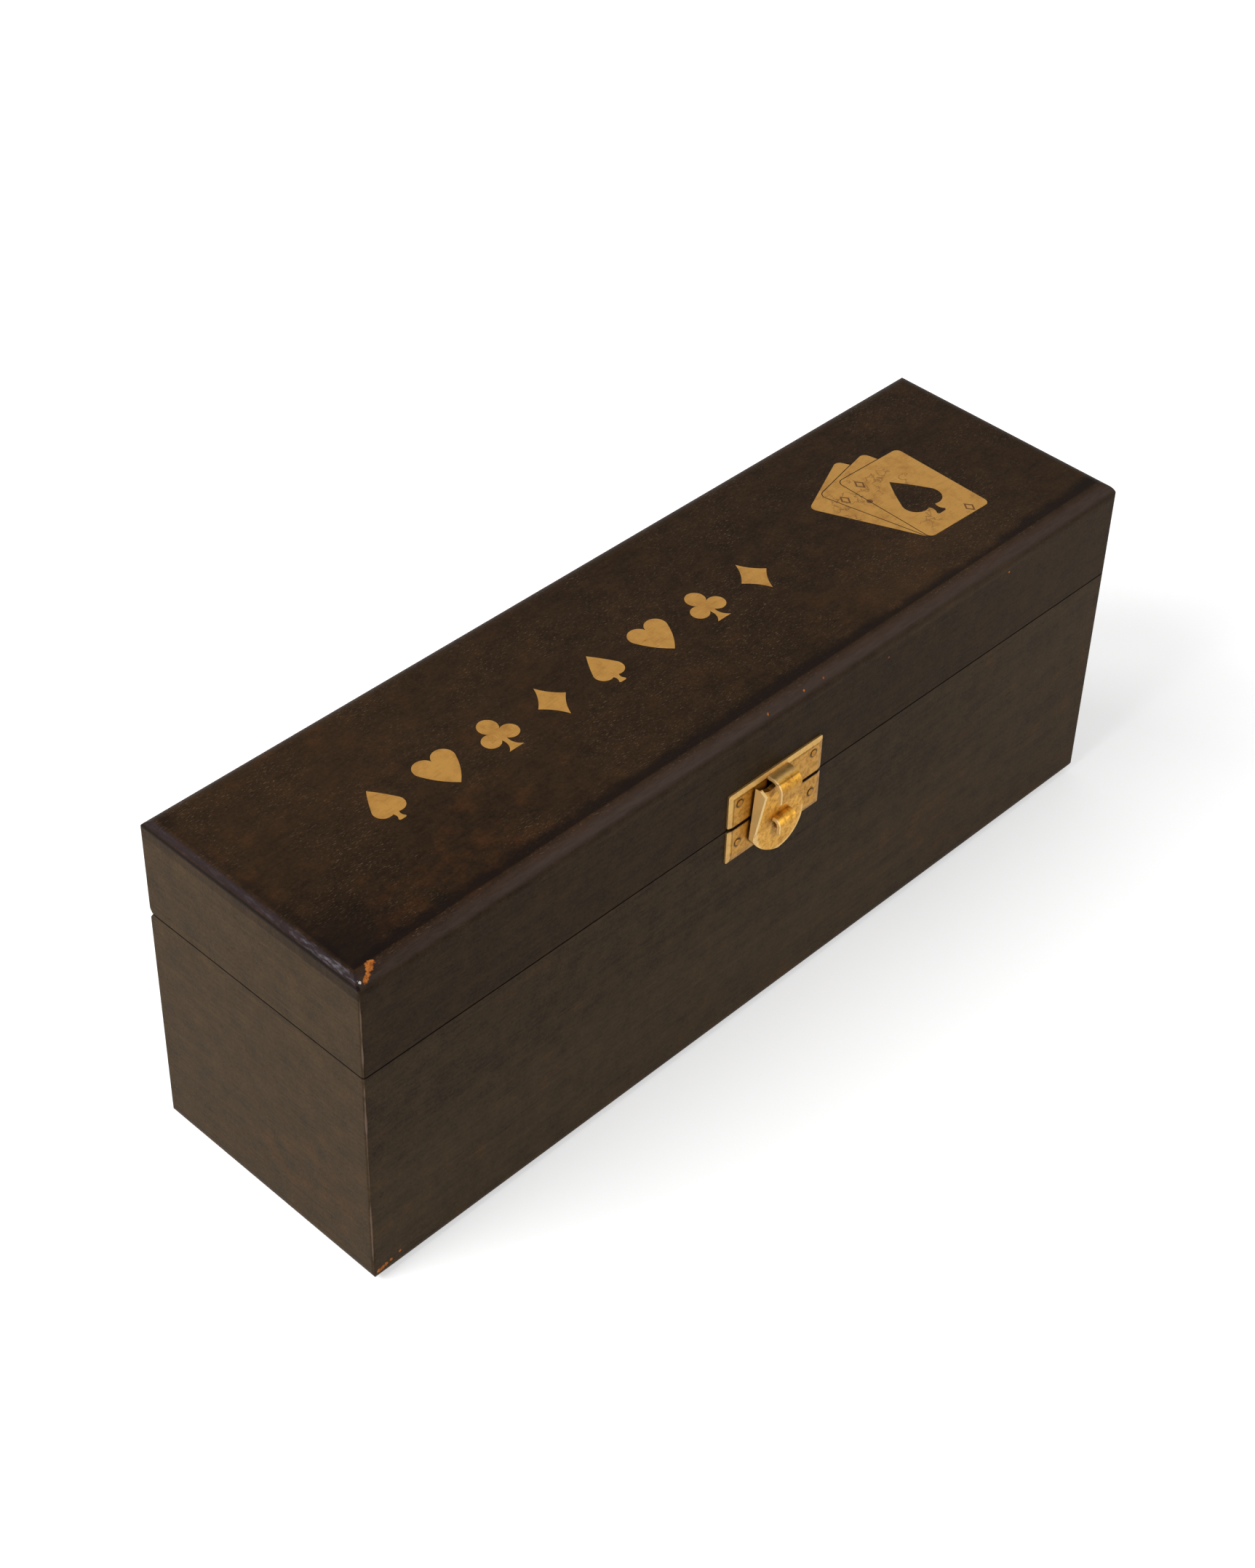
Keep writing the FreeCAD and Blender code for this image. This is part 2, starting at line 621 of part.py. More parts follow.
def catch_plate(seam_edge, far_edge):
    """Brass plate on the front, with a wide bevel at each side and at its edge away from the seam."""
    half = CATCH_WIDTH / 2
    flat = half - CATCH_BEVEL_WIDTH
    far_flat = far_edge + math.copysign(CATCH_BEVEL_WIDTH, seam_edge - far_edge)
    low, high = sorted((seam_edge, far_edge))
    rim, face = out(CATCH_PLATE - CATCH_PLATE_BEVEL), out(CATCH_PLATE)
    outline = prism(rectangle((-half, half), (low, high), CATCH_PLATE_CORNER), "Y", face, out(0))
    across = [(-half, out(0), 0), (half, out(0), 0), (half, rim, 0), (flat, face, 0), (-flat, face, 0),
              (-half, rim, 0)]
    upright = [(out(0), seam_edge, 0), (out(0), far_edge, 0), (rim, far_edge, 0), (face, far_flat, 0),
               (face, seam_edge, 0)]
    return outline.common(prism(across, "Z", low, high)).common(prism(upright, "X", -half, half))


def bent_strap(root, top, foot, reach, bend, width):
    """L-shaped strap in the box's side view: out from a root, round a bend, down to its foot."""
    inside = out(reach - STRAP_THICKNESS)
    under = top - STRAP_THICKNESS
    corners = [(out(root), top, 0), (out(reach), top, bend), (out(reach), foot, STRAP_EASE),
               (inside, foot, STRAP_EASE), (inside, under, bend - STRAP_THICKNESS), (out(root), under, 0)]
    return prism(corners, "X", -width / 2, width / 2)


def pins(height):
    """Pair of round-head pins at a height above the underside."""
    corners = [(0, -PIN_LENGTH - PIN_RADIUS, 0), (PIN_RADIUS, -PIN_LENGTH, 0), (PIN_RADIUS, CATCH_PLATE, 0),
               (PIN_HEAD_RADIUS, CATCH_PLATE, 0),
               (PIN_HEAD_RADIUS, CATCH_PLATE + PIN_HEAD_HEIGHT, PIN_HEAD_DOME),
               (0, CATCH_PLATE + PIN_HEAD_HEIGHT, 0)]
    return [turned(corners, Vector(side * PIN_SPACING / 2, out(0), height), Vector(0, -1, 0))
            for side in (-1, 1)]


def lid_pin_shanks():
    return pins(SEAM + LID_PIN_RISE)


def base_pin_shanks():
    return pins(SEAM - BASE_PIN_DROP)


def upper_plate():
    """Plate on the lid, pierced behind the keeper strap that is bent out of it."""
    plate = catch_plate(SEAM + CATCH_SEAM_GAP, SEAM + CATCH_SEAM_GAP + CATCH_PLATE_HEIGHT)
    half = STRAP_WIDTH / 2
    window = block((-half, half), (out(CATCH_PLATE), out(0)),
                   (SEAM + STRAP_FOOT, SEAM + STRAP_TOP - STRAP_THICKNESS - CATCH_WINDOW_GAP))
    strap = bent_strap(CATCH_PLATE - CATCH_PLATE_BEVEL, SEAM + STRAP_TOP, SEAM + STRAP_FOOT, STRAP_REACH,
                       STRAP_BEND, STRAP_WIDTH)
    return plate.cut(window).cut(Part.makeCompound(lid_pin_shanks())).fuse(strap).removeSplitter()


def lower_plate():
    """Plate on the base that carries the hook."""
    high = SEAM - CATCH_OVERLAP_GAP
    plate = catch_plate(high, high - CATCH_PLATE_HEIGHT)
    return plate.cut(Part.makeCompound(base_pin_shanks() + [rivet_shank()]))


def rivet_shank():
    """Part of the rivet in the plate and the wood."""
    return rod(RIVET_RADIUS, Vector(0, out(CATCH_PLATE), PIVOT_Z), Vector(0, out(-RIVET_TAIL), PIVOT_Z))


def rivet():
    """Rivet with a shoulder that holds the hook off the plate and a head that keeps it on."""
    shoulder = HOOK_BACK - RIVET_CLEARANCE
    head = HOOK_FACE + RIVET_CLEARANCE
    crown = head + RIVET_HEAD_HEIGHT
    corners = [(0, -RIVET_TAIL, 0), (RIVET_RADIUS, -RIVET_TAIL, 0), (RIVET_RADIUS, CATCH_PLATE, 0),
               (RIVET_HEAD_RADIUS, CATCH_PLATE, 0), (RIVET_HEAD_RADIUS, shoulder, 0),
               (RIVET_RADIUS, shoulder, 0), (RIVET_RADIUS, head, 0), (RIVET_HEAD_RADIUS, head, 0),
               (RIVET_HEAD_RADIUS, crown, RIVET_DOME), (0, crown, 0)]
    return turned(corners, Vector(0, out(0), PIVOT_Z), Vector(0, -1, 0))


def on_circle(radius, x):
    """Upper point of a circle about the rivet at a distance to the right."""
    return (x, math.sqrt(radius ** 2 - x ** 2))


def hook():
    """Half-moon hook: disc on the rivet, nose behind the strap, pointed wing and finger tab."""
    disc = HOOK_DISC_RADIUS
    shoulder = on_circle(disc, HOOK_SHOULDER)
    nose_right = on_circle(HOOK_NOSE_RADIUS, HOOK_NOSE_RIGHT)
    nose_left = on_circle(HOOK_NOSE_RADIUS, HOOK_NOSE_LEFT)
    dip = ((nose_left[0] + HOOK_TIP[0]) / 2, (nose_left[1] + HOOK_TIP[1]) / 2 - HOOK_WING_DIP)
    low_right = disc * math.sin(math.pi / 4)
    steps = [HOOK_HEEL, (HOOK_BELLY, (0.0, -disc)), ((low_right, -low_right), (disc, 0.0)),
             (on_circle(disc, (disc + HOOK_SHOULDER) / 2), shoulder), nose_right,
             ((0.0, HOOK_NOSE_RADIUS), nose_left), (dip, HOOK_TIP)]
    face = Part.Face(Part.Wire(path(HOOK_TIP, steps, "Y", out(HOOK_FACE))))
    plate = face.extrude(Vector(0, HOOK_THICKNESS, 0))
    tab = bent_strap(HOOK_FACE, TAB_TOP, TAB_FOOT, HOOK_FACE + TAB_REACH, TAB_BEND, TAB_WIDTH)
    bore = rod(RIVET_RADIUS + RIVET_CLEARANCE, Vector(0, out(HOOK_FACE), 0), Vector(0, out(HOOK_BACK), 0))
    solid = plate.cut(bore).fuse([tab, hook_lip()]).removeSplitter()
    solid.translate(Vector(0, 0, PIVOT_Z))
    return solid


def hook_lip():
    """Lip along the hook's straight left edge, rising from nothing at the heel to near the tip."""
    tip, heel = (Vector(u, out(HOOK_FACE), v) for u, v in (HOOK_TIP, HOOK_HEEL))
    crest = tip + (heel - tip) * HOOK_LIP_RUN - Vector(0, HOOK_LIP_HEIGHT, 0)
    across = Vector(tip.z - heel.z, 0, heel.x - tip.x).normalize()
    return Part.Face(Part.makePolygon([heel, tip, crest, heel])).extrude(across * HOOK_LIP_WIDTH)


def catch():
    """Both plates, their pins, the rivet and the hook."""
    return {
        "catch_upper_plate": upper_plate(),
        "catch_lower_plate": lower_plate(),
        "catch_pins_lid": Part.makeCompound(lid_pin_shanks()),
        "catch_pins_base": Part.makeCompound(base_pin_shanks()),
        "catch_rivet": rivet(),
        "catch_hook": hook(),
    }


def main():
    pieces = {}
    for group in (base_boards(), lid_boards(), drawer(), card_decks(), pegs(), hinges(), catch()):
        pieces.update(group)
    pieces["cribbage_board"] = pegging_board()
    pieces["inlay_pips"] = Part.makeCompound(pip_inlays())
    pieces["inlay_cards"] = Part.makeCompound(fan_inlays())
    os.makedirs("parts", exist_ok=True)
    for name, shape in pieces.items():
        shape.exportStep(f"parts/{name}.step")
        print(f"{name:24s} {len(shape.Solids)} solids {shape.Volume:10.1f} mm3 valid {shape.isValid()}")


main()
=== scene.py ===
"""Looks of the cribbage box: stained boards, brass inlays and catch, pegging board, pegs and card drawer.

Lengths are in millimetres until a mesh is made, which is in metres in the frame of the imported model.
"""

import logging
import math
from dataclasses import dataclass
from enum import Enum
from typing import Any, Optional, Union

import bpy
import numpy as np
from mathutils import Matrix

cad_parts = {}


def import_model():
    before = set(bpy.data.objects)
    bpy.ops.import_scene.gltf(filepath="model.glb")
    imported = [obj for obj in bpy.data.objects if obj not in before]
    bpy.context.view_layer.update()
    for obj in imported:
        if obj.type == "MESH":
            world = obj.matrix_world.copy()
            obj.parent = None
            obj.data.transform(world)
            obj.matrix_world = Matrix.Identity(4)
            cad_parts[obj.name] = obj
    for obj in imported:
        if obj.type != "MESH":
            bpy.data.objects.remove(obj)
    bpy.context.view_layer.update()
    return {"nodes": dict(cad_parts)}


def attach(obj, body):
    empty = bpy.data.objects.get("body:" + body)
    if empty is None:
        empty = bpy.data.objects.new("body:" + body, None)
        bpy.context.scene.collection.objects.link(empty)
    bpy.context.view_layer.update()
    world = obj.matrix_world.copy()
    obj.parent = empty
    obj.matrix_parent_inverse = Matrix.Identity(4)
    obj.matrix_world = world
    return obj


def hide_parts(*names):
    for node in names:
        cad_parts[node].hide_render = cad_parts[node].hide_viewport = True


LOG = logging.getLogger("cribbage_box")
MM = 0.001
Colour = tuple[float, float, float]
Number = Union[float, "Value"]


def srgb(red: int, green: int, blue: int) -> Colour:
    """Linear colour of an 8-bit screen colour.

    Args:
        red: Red part from 0 to 255.
        green: Green part from 0 to 255.
        blue: Blue part from 0 to 255.

    Returns:
        The three linear parts, each the sRGB curve's value.
    """
    def part(level: int) -> float:
        """One part: a straight toe below 0.04045, and a power of 2.4 above it."""
        share = level / 255
        return share / 12.92 if share <= 0.04045 else ((share + 0.055) / 1.055) ** 2.4
    return part(red), part(green), part(blue)


# ---------------------------------------------------------------------- shader values


@dataclass(frozen=True)
class Value:
    """A node's output that Python arithmetic turns into Math nodes."""

    recipe: "Recipe"
    socket: Any

    def math(self, operation: str, *others: Number) -> "Value":
        """A Math node of this value and others."""
        return self.recipe.node("ShaderNodeMath", {"operation": operation}, self, *others)

    def __add__(self, other: Number) -> "Value":
        """Sum."""
        return self.math("ADD", other)

    __radd__ = __add__

    def __mul__(self, other: Number) -> "Value":
        """Product."""
        return self.math("MULTIPLY", other)

    __rmul__ = __mul__

    def __sub__(self, other: Number) -> "Value":
        """Difference."""
        return self.math("SUBTRACT", other)

    def __rsub__(self, other: Number) -> "Value":
        """Difference from another."""
        return self.recipe.node("ShaderNodeMath", {"operation": "SUBTRACT"}, other, self)

    def __pow__(self, other: Number) -> "Value":
        """Power."""
        return self.math("POWER", other)

    def __neg__(self) -> "Value":
        """Opposite."""
        return self.math("MULTIPLY", -1.0)

    def __abs__(self) -> "Value":
        """Size without its sign."""
        return self.math("ABSOLUTE")

    def least(self, other: Number) -> "Value":
        """Smaller of two."""
        return self.math("MINIMUM", other)

    def most(self, other: Number) -> "Value":
        """Larger of two."""
        return self.math("MAXIMUM", other)

    def clamped(self) -> "Value":
        """Value held from 0 to 1."""
        return self.least(1.0).most(0.0)

    def hypot(self, other: "Value") -> "Value":
        """Length of the two as the sides of a right angle."""
        return (self * self + other * other).math("SQRT")

    def rise(self, low: float, high: float) -> "Value":
        """Smooth step from 0 at low to 1 at high, or from 1 to 0 where low is the larger."""
        share = ((self - low) * (1 / (high - low))).clamped()
        return share * share * (3.0 - 2.0 * share)


class Recipe:
    """One node-based material, or the world, in the making."""

    def __init__(self, name: str, world: bool = False) -> None:
        """Starts a material with a Principled surface, or a world with its Background."""
        data = bpy.data.worlds if world else bpy.data.materials
        self.made = data.new(name)
        self.made.use_nodes = True
        self.tree = self.made.node_tree
        self.shader = self.tree.nodes["Background" if world else "Principled BSDF"]
        self._place: Optional[Value] = None

    def node(self, kind: str, settings: dict[str, Any], *values: Any, out: Union[int, str] = 0,
             **named: Any) -> Value:
        """Adds a node.

        Args:
            kind: The node's type.
            settings: Its settings, set before its sockets.
            values: Values or links of its first sockets, in order.
            out: The output to return.
            named: Values or links of sockets by name, with _ for a blank.

        Returns:
            The chosen output.
        """
        node = self.tree.nodes.new(kind)
        for key, setting in settings.items():
            setattr(node, key, setting)
        enabled = [socket for socket in node.inputs if socket.enabled]
        pairs = list(zip(enabled, values))
        pairs += [(next(s for s in enabled if s.name == key.replace("_", " ")), value)
                  for key, value in named.items()]
        for socket, value in pairs:
            self._plug(socket, value)
        shown = [socket for socket in node.outputs if socket.enabled]
        return Value(self, shown[out] if isinstance(out, int) else node.outputs[out])

    def _plug(self, socket: Any, value: Any) -> None:
        """Links a value to a socket, or sets the socket's number or colour."""
        if isinstance(value, Value):
            self.tree.links.new(value.socket, socket)
        elif isinstance(value, tuple) and len(value) == 3 and len(socket.default_value) == 4:
            socket.default_value = (*value, 1.0)
        else:
            socket.default_value = value

    def place(self) -> Value:
        """The point on the surface in millimetres, in the piece's own frame."""
        if self._place is None:
            point = self.node("ShaderNodeTexCoord", {}, out="Object")
            self._place = self.node("ShaderNodeVectorMath", {"operation": "SCALE"}, point, Scale=1 / MM)
        return self._place

    def axes(self, vector: Optional[Value] = None) -> tuple[Value, Value, Value]:
        """The three parts of a vector, or of the place."""
        split = self.node("ShaderNodeSeparateXYZ", {}, vector or self.place())
        return tuple(Value(self, socket) for socket in split.socket.node.outputs)

    def vector(self, x: Number, y: Number, z: Number) -> Value:
        """A vector from its parts."""
        return self.node("ShaderNodeCombineXYZ", {}, x, y, z)

    def scaled(self, scale: Colour, turn: Colour = (0.0, 0.0, 0.0), shift: Colour = (0.0, 0.0, 0.0)) -> Value:
        """The place, shifted, turned and scaled by a Mapping node."""
        return self.node("ShaderNodeMapping", {"vector_type": "POINT"}, self.place(), shift,
                         tuple(math.radians(angle) for angle in turn), scale)

    def noise(self, at: Value, scale: float = 1.0, detail: float = 2.0, rough: float = 0.5,
              warp: float = 0.0) -> Value:
        """Fractal noise, around 0.5."""
        return self.node("ShaderNodeTexNoise", {"noise_dimensions": "3D"}, Vector=at, Scale=scale,
                         Detail=detail, Roughness=rough, Distortion=warp)

    def mix(self, share: Number, first: Any, second: Any, blend: str = "MIX") -> Value:
        """Blend of two colours."""
        return self.node("ShaderNodeMix", {"data_type": "RGBA", "blend_type": blend, "clamp_factor": True},
                         share, first, second)

    def bump(self, height: Value, depth: float, under: Optional[Value] = None) -> Value:
        """Bump normal of a height from 0 to 1 that stands for a depth in millimetres."""
        named = {"Normal": under} if under else {}
        return self.node("ShaderNodeBump", {}, Strength=1.0, Distance=depth * MM, Height=height, **named)

    def seen(self) -> Value:
        """1 for what the camera sees, straight, mirrored or through glass, and 0 for light on the object."""
        path = self.node("ShaderNodeLightPath", {}, out="Is Camera Ray")
        outputs = path.socket.node.outputs
        mirrored, through = (Value(self, outputs[f"Is {kind} Ray"]) for kind in ("Glossy", "Transmission"))
        return path.most(mirrored).most(through)

    def finish(self, **sockets: Any) -> Union[bpy.types.Material, bpy.types.World]:
        """Sets or links the shader's sockets by name, with _ for a blank, and returns what is made."""
        for key, value in sockets.items():
            self._plug(self.shader.inputs[key.replace("_", " ")], value)
        return self.made


# ---------------------------------------------------------------------- the box's outer form


@dataclass(frozen=True)
class BoxForm:
    """Outer sizes of the box, which the wear along its edges follows."""

    half_length: float = 150.0
    half_depth: float = 42.0
    height: float = 112.0
    seam: float = 79.0
    top_round: float = 5.0
    left_round: float = 2.5
    foot_round: float = 4.0
    foot_end_round: float = 4.8
    corner_round: float = 1.0


FORM = BoxForm()
Spot = tuple[float, float, float, float]


class Grain(Enum):
    """Way the grain runs in a board, as the scale of its texture along X, Y and Z."""

    LENGTHWISE = (0.035, 1.0, 1.0)
    SHORT = (0.25, 1.0, 1.0)
    ACROSS = (1.0, 0.035, 1.0)
    UPRIGHT = (1.0, 1.0, 0.035)


# ---------------------------------------------------------------------- finishes


@dataclass(frozen=True)
class StainedWood:
    """Dark stain rubbed into hardwood under a satin coat, worn along its edges, with painted sheen,
    highlights and shade.

    Attributes:
        name: Material's name.
        grain: Way the grain runs.
        stain: Colour of the stain.
        warm: Colour of the warmer patches.
        warm_share: How much of the face the warm patches take.
        sheen: Roughness of the plain face.
        flecked: Strength of the fine pale strokes.
        hemmed: Strength of the dark stripe just inside the top's front and left edges.
        worn: Strength of the wear along the edges.
        bare_spots: Places of rubbed spots, as (x, y, z, radius).
        glints: Places of small painted highlights, as (x, y, z, radius).
        skirt: Colour of the stain on the upright faces of a board whose top is of the main colour.
        deeper: How much darker and plainer the stain gets from the left towards the right.
        upper_shade: How much painted shade darkens the long sides over their upper half, away from the
            drawer's end.
    """

    name: str
    grain: Grain
    stain: Colour = srgb(46, 32, 19)
    warm: Colour = srgb(62, 37, 19)
    warm_share: float = 0.45
    sheen: float = 0.5
    flecked: float = 0.0
    hemmed: float = 0.0
    worn: float = 1.0
    bare_spots: tuple[Spot, ...] = ()
    glints: tuple[Spot, ...] = ()
    skirt: Optional[Colour] = None
    deeper: float = 0.0
    upper_shade: float = 0.0

    bare = srgb(188, 112, 50)
    # Dark of the pores and of the stripe inside the top's edges; also the painted shade under the round-overs
    # and in the seam.
    dark = srgb(17, 10, 8)
    # Worn, thinned stain and painted highlight on the upright edges' crests.
    rub_and_highlight = srgb(116, 96, 84)
    # Painted sheen: the cool reflection on the front round-over's crest.
    crest = srgb(70, 57, 51)
    # Painted sheen on the left end's narrow round-over.
    strip = srgb(43, 34, 38)
    # Painted highlights streaked along that sheen, brightest near the front corner.
    streak = srgb(94, 88, 96)
    fleck = srgb(140, 116, 92)
    rust = srgb(92, 52, 32)
    bare_dark = srgb(136, 72, 30)
    # Painted highlight colour of the glints.
    glint = srgb(206, 200, 194)

    # Distances in from an edge, or down from the top, between which a band fades in
    crest_in = (5.2, 1.4)
    crest_down = (3.7, 2.1)
    strip_in = (2.4, 1.2)
    strip_down = (1.9, 0.9)
    seam_shade_fade = (0.42, 0.15)

    def make(self) -> bpy.types.Material:
        """Builds the material from its colour, its wear and its relief."""
        recipe = Recipe(self.name)
        x, y, z = recipe.axes()
        end = FORM.half_length - abs(x)
        side = FORM.half_depth - abs(y)
        up = FORM.height - z
        left = (-x).rise(120.0, 130.0)
        front = (-y).rise(0.0, 20.0)
        near = left * (-y).rise(-6.0, 44.0)
        grained = recipe.noise(recipe.scaled(self.grain.value), 0.7, 4.0, 0.62, 0.3)
        blotch = recipe.noise(recipe.place(), 0.14, 4.0, 0.6)
        patches = recipe.noise(recipe.place(), 0.02, 3.0, 0.55, 0.8)
        scuff = recipe.noise(recipe.place(), 0.8, 4.0, 0.75)
        colour = self.stained(recipe, grained, blotch, patches, x, y, z)
        drawn = tuple(max(part, 0.12) for part in self.grain.value)
        pores = recipe.noise(recipe.scaled(drawn), 2.6, 2.0, 0.7)
        pit = pores.rise(0.36, 0.30)
        colour = recipe.mix(pit * 0.45, colour, self.dark)
        if self.flecked:
            colour = recipe.mix(self.flecks(recipe) * up.rise(1.0, 0.4) * self.flecked, colour, self.fleck)
        if self.hemmed:
            hem = self.hem(x, side, end, up, front, left, blotch)
            colour = recipe.mix(hem * self.hemmed, colour, self.dark)
        along = x.rise(-150.0, -60.0)
        run = recipe.noise(recipe.scaled((0.15, 1.0, 1.0)), 1.1, 3.0, 0.7).rise(0.35, 0.65)
        shown = 0.4 + along * 0.4 + run * 0.35
        # Painted sheen band on the front round-over, stronger towards the left.
        crest = side.rise(*self.crest_in) * up.rise(*self.crest_down) * front * shown
        # Painted shade: a dark line where the front round-over meets the front.
        below = side.rise(1.4, 0.7) * up.rise(1.9, 2.7) * up.rise(4.4, 3.2) * front * along
        # Painted sheen strip on the left end's round-over.
        strip = end.rise(*self.strip_in) * up.rise(*self.strip_down) * left
        # Painted shade: a dark line where the left end's round-over meets the end.
        under = end.rise(1.2, 0.7) * up.rise(1.3, 1.9) * up.rise(3.2, 2.4) * left
        streak = recipe.noise(recipe.scaled((1.0, 0.18, 1.0)), 1.1, 3.0, 0.7)
        colour = recipe.mix(crest * 0.8, colour, self.crest)
        colour = recipe.mix(strip * 0.7, colour, self.strip)
        # Painted highlight streaks on the left strip near the front corner.
        colour = recipe.mix(strip * (0.1 + near * 0.7) * streak.rise(0.50, 0.70), colour, self.streak)
        # Painted shade in the seam between lid and base.
        seam_shade = abs(z - FORM.seam).rise(*self.seam_shade_fade)
        # Painted shade lines under the round-overs and in the seam.
        colour = recipe.mix((under * 0.85).most(seam_shade * 0.7).most(below * 0.12), colour, self.dark)
        colour = self.rubs_and_highlights(recipe, colour, scuff, end, side, up, z)
        spots = self.spots(recipe, scuff, self.bare_spots)
        rubbed_bare = recipe.mix(scuff.rise(0.42, 0.62), self.bare, self.bare_dark)
        colour = recipe.mix(spots * 0.9, colour, rubbed_bare)
        # Painted highlights: the glints by the front left corner.
        colour = recipe.mix(self.spots(recipe, scuff, self.glints) * 0.9, colour, self.glint)
        rough = (self.sheen + (grained - 0.5) * 0.16 + (blotch - 0.5) * 0.16 - strip * 0.12
                 + pit * 0.12 + spots * 0.2).clamped()
        relief = recipe.bump(grained, 0.06)
        relief = recipe.bump(pores.rise(0.25, 0.45), 0.05, relief)
        relief = recipe.bump(recipe.noise(recipe.place(), 0.07, 2.0, 0.5), 0.25, relief)
        coat = (strip * (0.02 + near * 0.4) * streak.rise(0.42, 0.68) + crest * 0.02) * (1.0 - spots)
        return recipe.finish(Base_Color=colour, Roughness=rough, Normal=relief, Specular_IOR_Level=0.03,
                             Coat_Weight=coat, Coat_Roughness=0.22)

    def stained(self, recipe: Recipe, grained: Value, blotch: Value, patches: Value, x: Value,
                y: Value, z: Value) -> Value:
        """Stain with warm patches, and a tone that follows the grain, the blotches and fine specks."""
        low, high = 0.62 - 0.25 * self.warm_share, 0.74 - 0.1 * self.warm_share
        warm = (patches * 0.5 + blotch * 0.5).rise(low, high)
        colour = recipe.mix(warm * (0.75 - x.rise(-115.0, -40.0) * self.deeper * 2.5), self.stain, self.warm)
        if self.skirt:
            colour = recipe.mix((FORM.height - z).rise(1.0, 2.6), colour, self.skirt)
        speck = recipe.noise(recipe.place(), 1.1, 3.0, 0.75)
        tone = -0.57 + grained * 0.9 + blotch * 1.1 + speck * 1.2
        if self.deeper:
            lighter = (x.rise(25.0, 70.0) - x.rise(95.0, 125.0) * 0.7) * (-y).rise(0.0, 28.0) * 1.7
            darker = (-x).rise(40.0, 120.0) * (-y).rise(-20.0, 30.0) * 1.4
            tone = tone + (lighter - darker - x.rise(-110.0, 20.0)) * self.deeper
        # Painted shade: the long sides darker over their upper half, away from the drawer's end.
        if self.upper_shade:
            tone = tone - z.rise(28.0, 56.0) * x.rise(125.0, 50.0) * self.upper_shade
        return recipe.mix(1.0, colour, recipe.vector(tone, tone, tone), "MULTIPLY")

    def flecks(self, recipe: Recipe) -> Value:
        """Short pale strokes a millimetre or two long, gathered in loose drifts."""
        stroke = recipe.noise(recipe.scaled((0.55, 3.4, 1.0), (0.0, 0.0, -20.0)), 1.25, 1.0, 0.5)
        drift = recipe.noise(recipe.place(), 0.05, 3.0, 0.6)
        return stroke.rise(0.62, 0.73) * drift.rise(0.36, 0.62)

    def hem(self, x: Value, side: Value, end: Value, up: Value, front: Value, left: Value,
            blotch: Value) -> Value:
        """Dark stripe just inside the top's front and left edges, strongest where the two meet."""
        ragged = (blotch - 0.5) * 5.0
        off_front, off_left = side.rise(4.2, 5.0), end.rise(2.2, 3.0)
        corner = (side.hypot(end) + ragged * 1.6).rise(40.0, 9.0) * front * left
        narrower = (x.rise(20.0, 60.0) - x.rise(90.0, 120.0)) * 1.6
        along = off_front * (side + ragged + narrower).rise(10.0, 6.5) * front * (0.86 + corner * 0.14)
        across = off_left * (end + ragged * 1.4).rise(8.5, 3.0) * left * (0.4 + corner * 0.6)
        inside = (off_front + (1.0 - front)).clamped() * (off_left + (1.0 - left)).clamped()
        return along.most(across).most(corner * 0.8) * inside * up.rise(1.5, 0.5)

    def rubs_and_highlights(self, recipe: Recipe, colour: Value, scuff: Value, end: Value, side: Value, up: Value,
               z: Value) -> Value:
        """Colour with the stain thinned along the crests of the edges, with a painted highlight on the
        upright edges, and with rust and bare chips.

        For two faces at distances p and q, the sharp corner is hypot(p, q) away, and the crest of
        the rounded edge lies 0.414 of its radius inside that corner.
        """
        slack = math.sqrt(2) - 1
        upright = end.hypot(side) - slack * FORM.corner_round
        level = side.hypot(up) - slack * FORM.top_round
        for p, q, radius in ((end, up, FORM.left_round), (side, z, FORM.foot_round),
                             (end, z, FORM.foot_end_round)):
            level = level.least(p.hypot(q) - slack * radius)
        drawn_out = recipe.noise(recipe.scaled((0.25, 0.25, 0.09)), 0.8, 3.0, 0.7)
        # Thin pale line on the upright edges: worn stain and painted highlight.
        worn_and_lit = (0.09 - upright + (drawn_out - 0.5) * 0.5).rise(0.0, 0.12) * self.worn
        colour = recipe.mix(worn_and_lit * 0.7, colour, self.rub_and_highlight)
        rare = recipe.noise(recipe.place(), 0.045, 2.0, 0.5)
        chips = ((scuff - 0.5) * 1.5 + (rare - 0.74) * 3.4 - level * 1.2) * self.worn
        colour = recipe.mix(chips.rise(-0.25, 0.25) * 0.4, colour, self.rust)
        return recipe.mix(chips.rise(0.05, 0.25) * 0.9, colour, self.bare)

    @staticmethod
    def spots(recipe: Recipe, scuff: Value, places: tuple[Spot, ...]) -> Value:
        """1 in each of the spots, with ragged rims."""
        share = recipe.node("ShaderNodeMath", {"operation": "MULTIPLY"}, scuff, 0.0)
        for sx, sy, sz, radius in places:
            away = recipe.node("ShaderNodeVectorMath", {"operation": "DISTANCE"}, recipe.place(),
                               (sx, sy, sz), out="Value")
            share = share.most((away + (scuff - 0.5) * (radius * 1.6)).rise(radius, radius * 0.6))
        return share


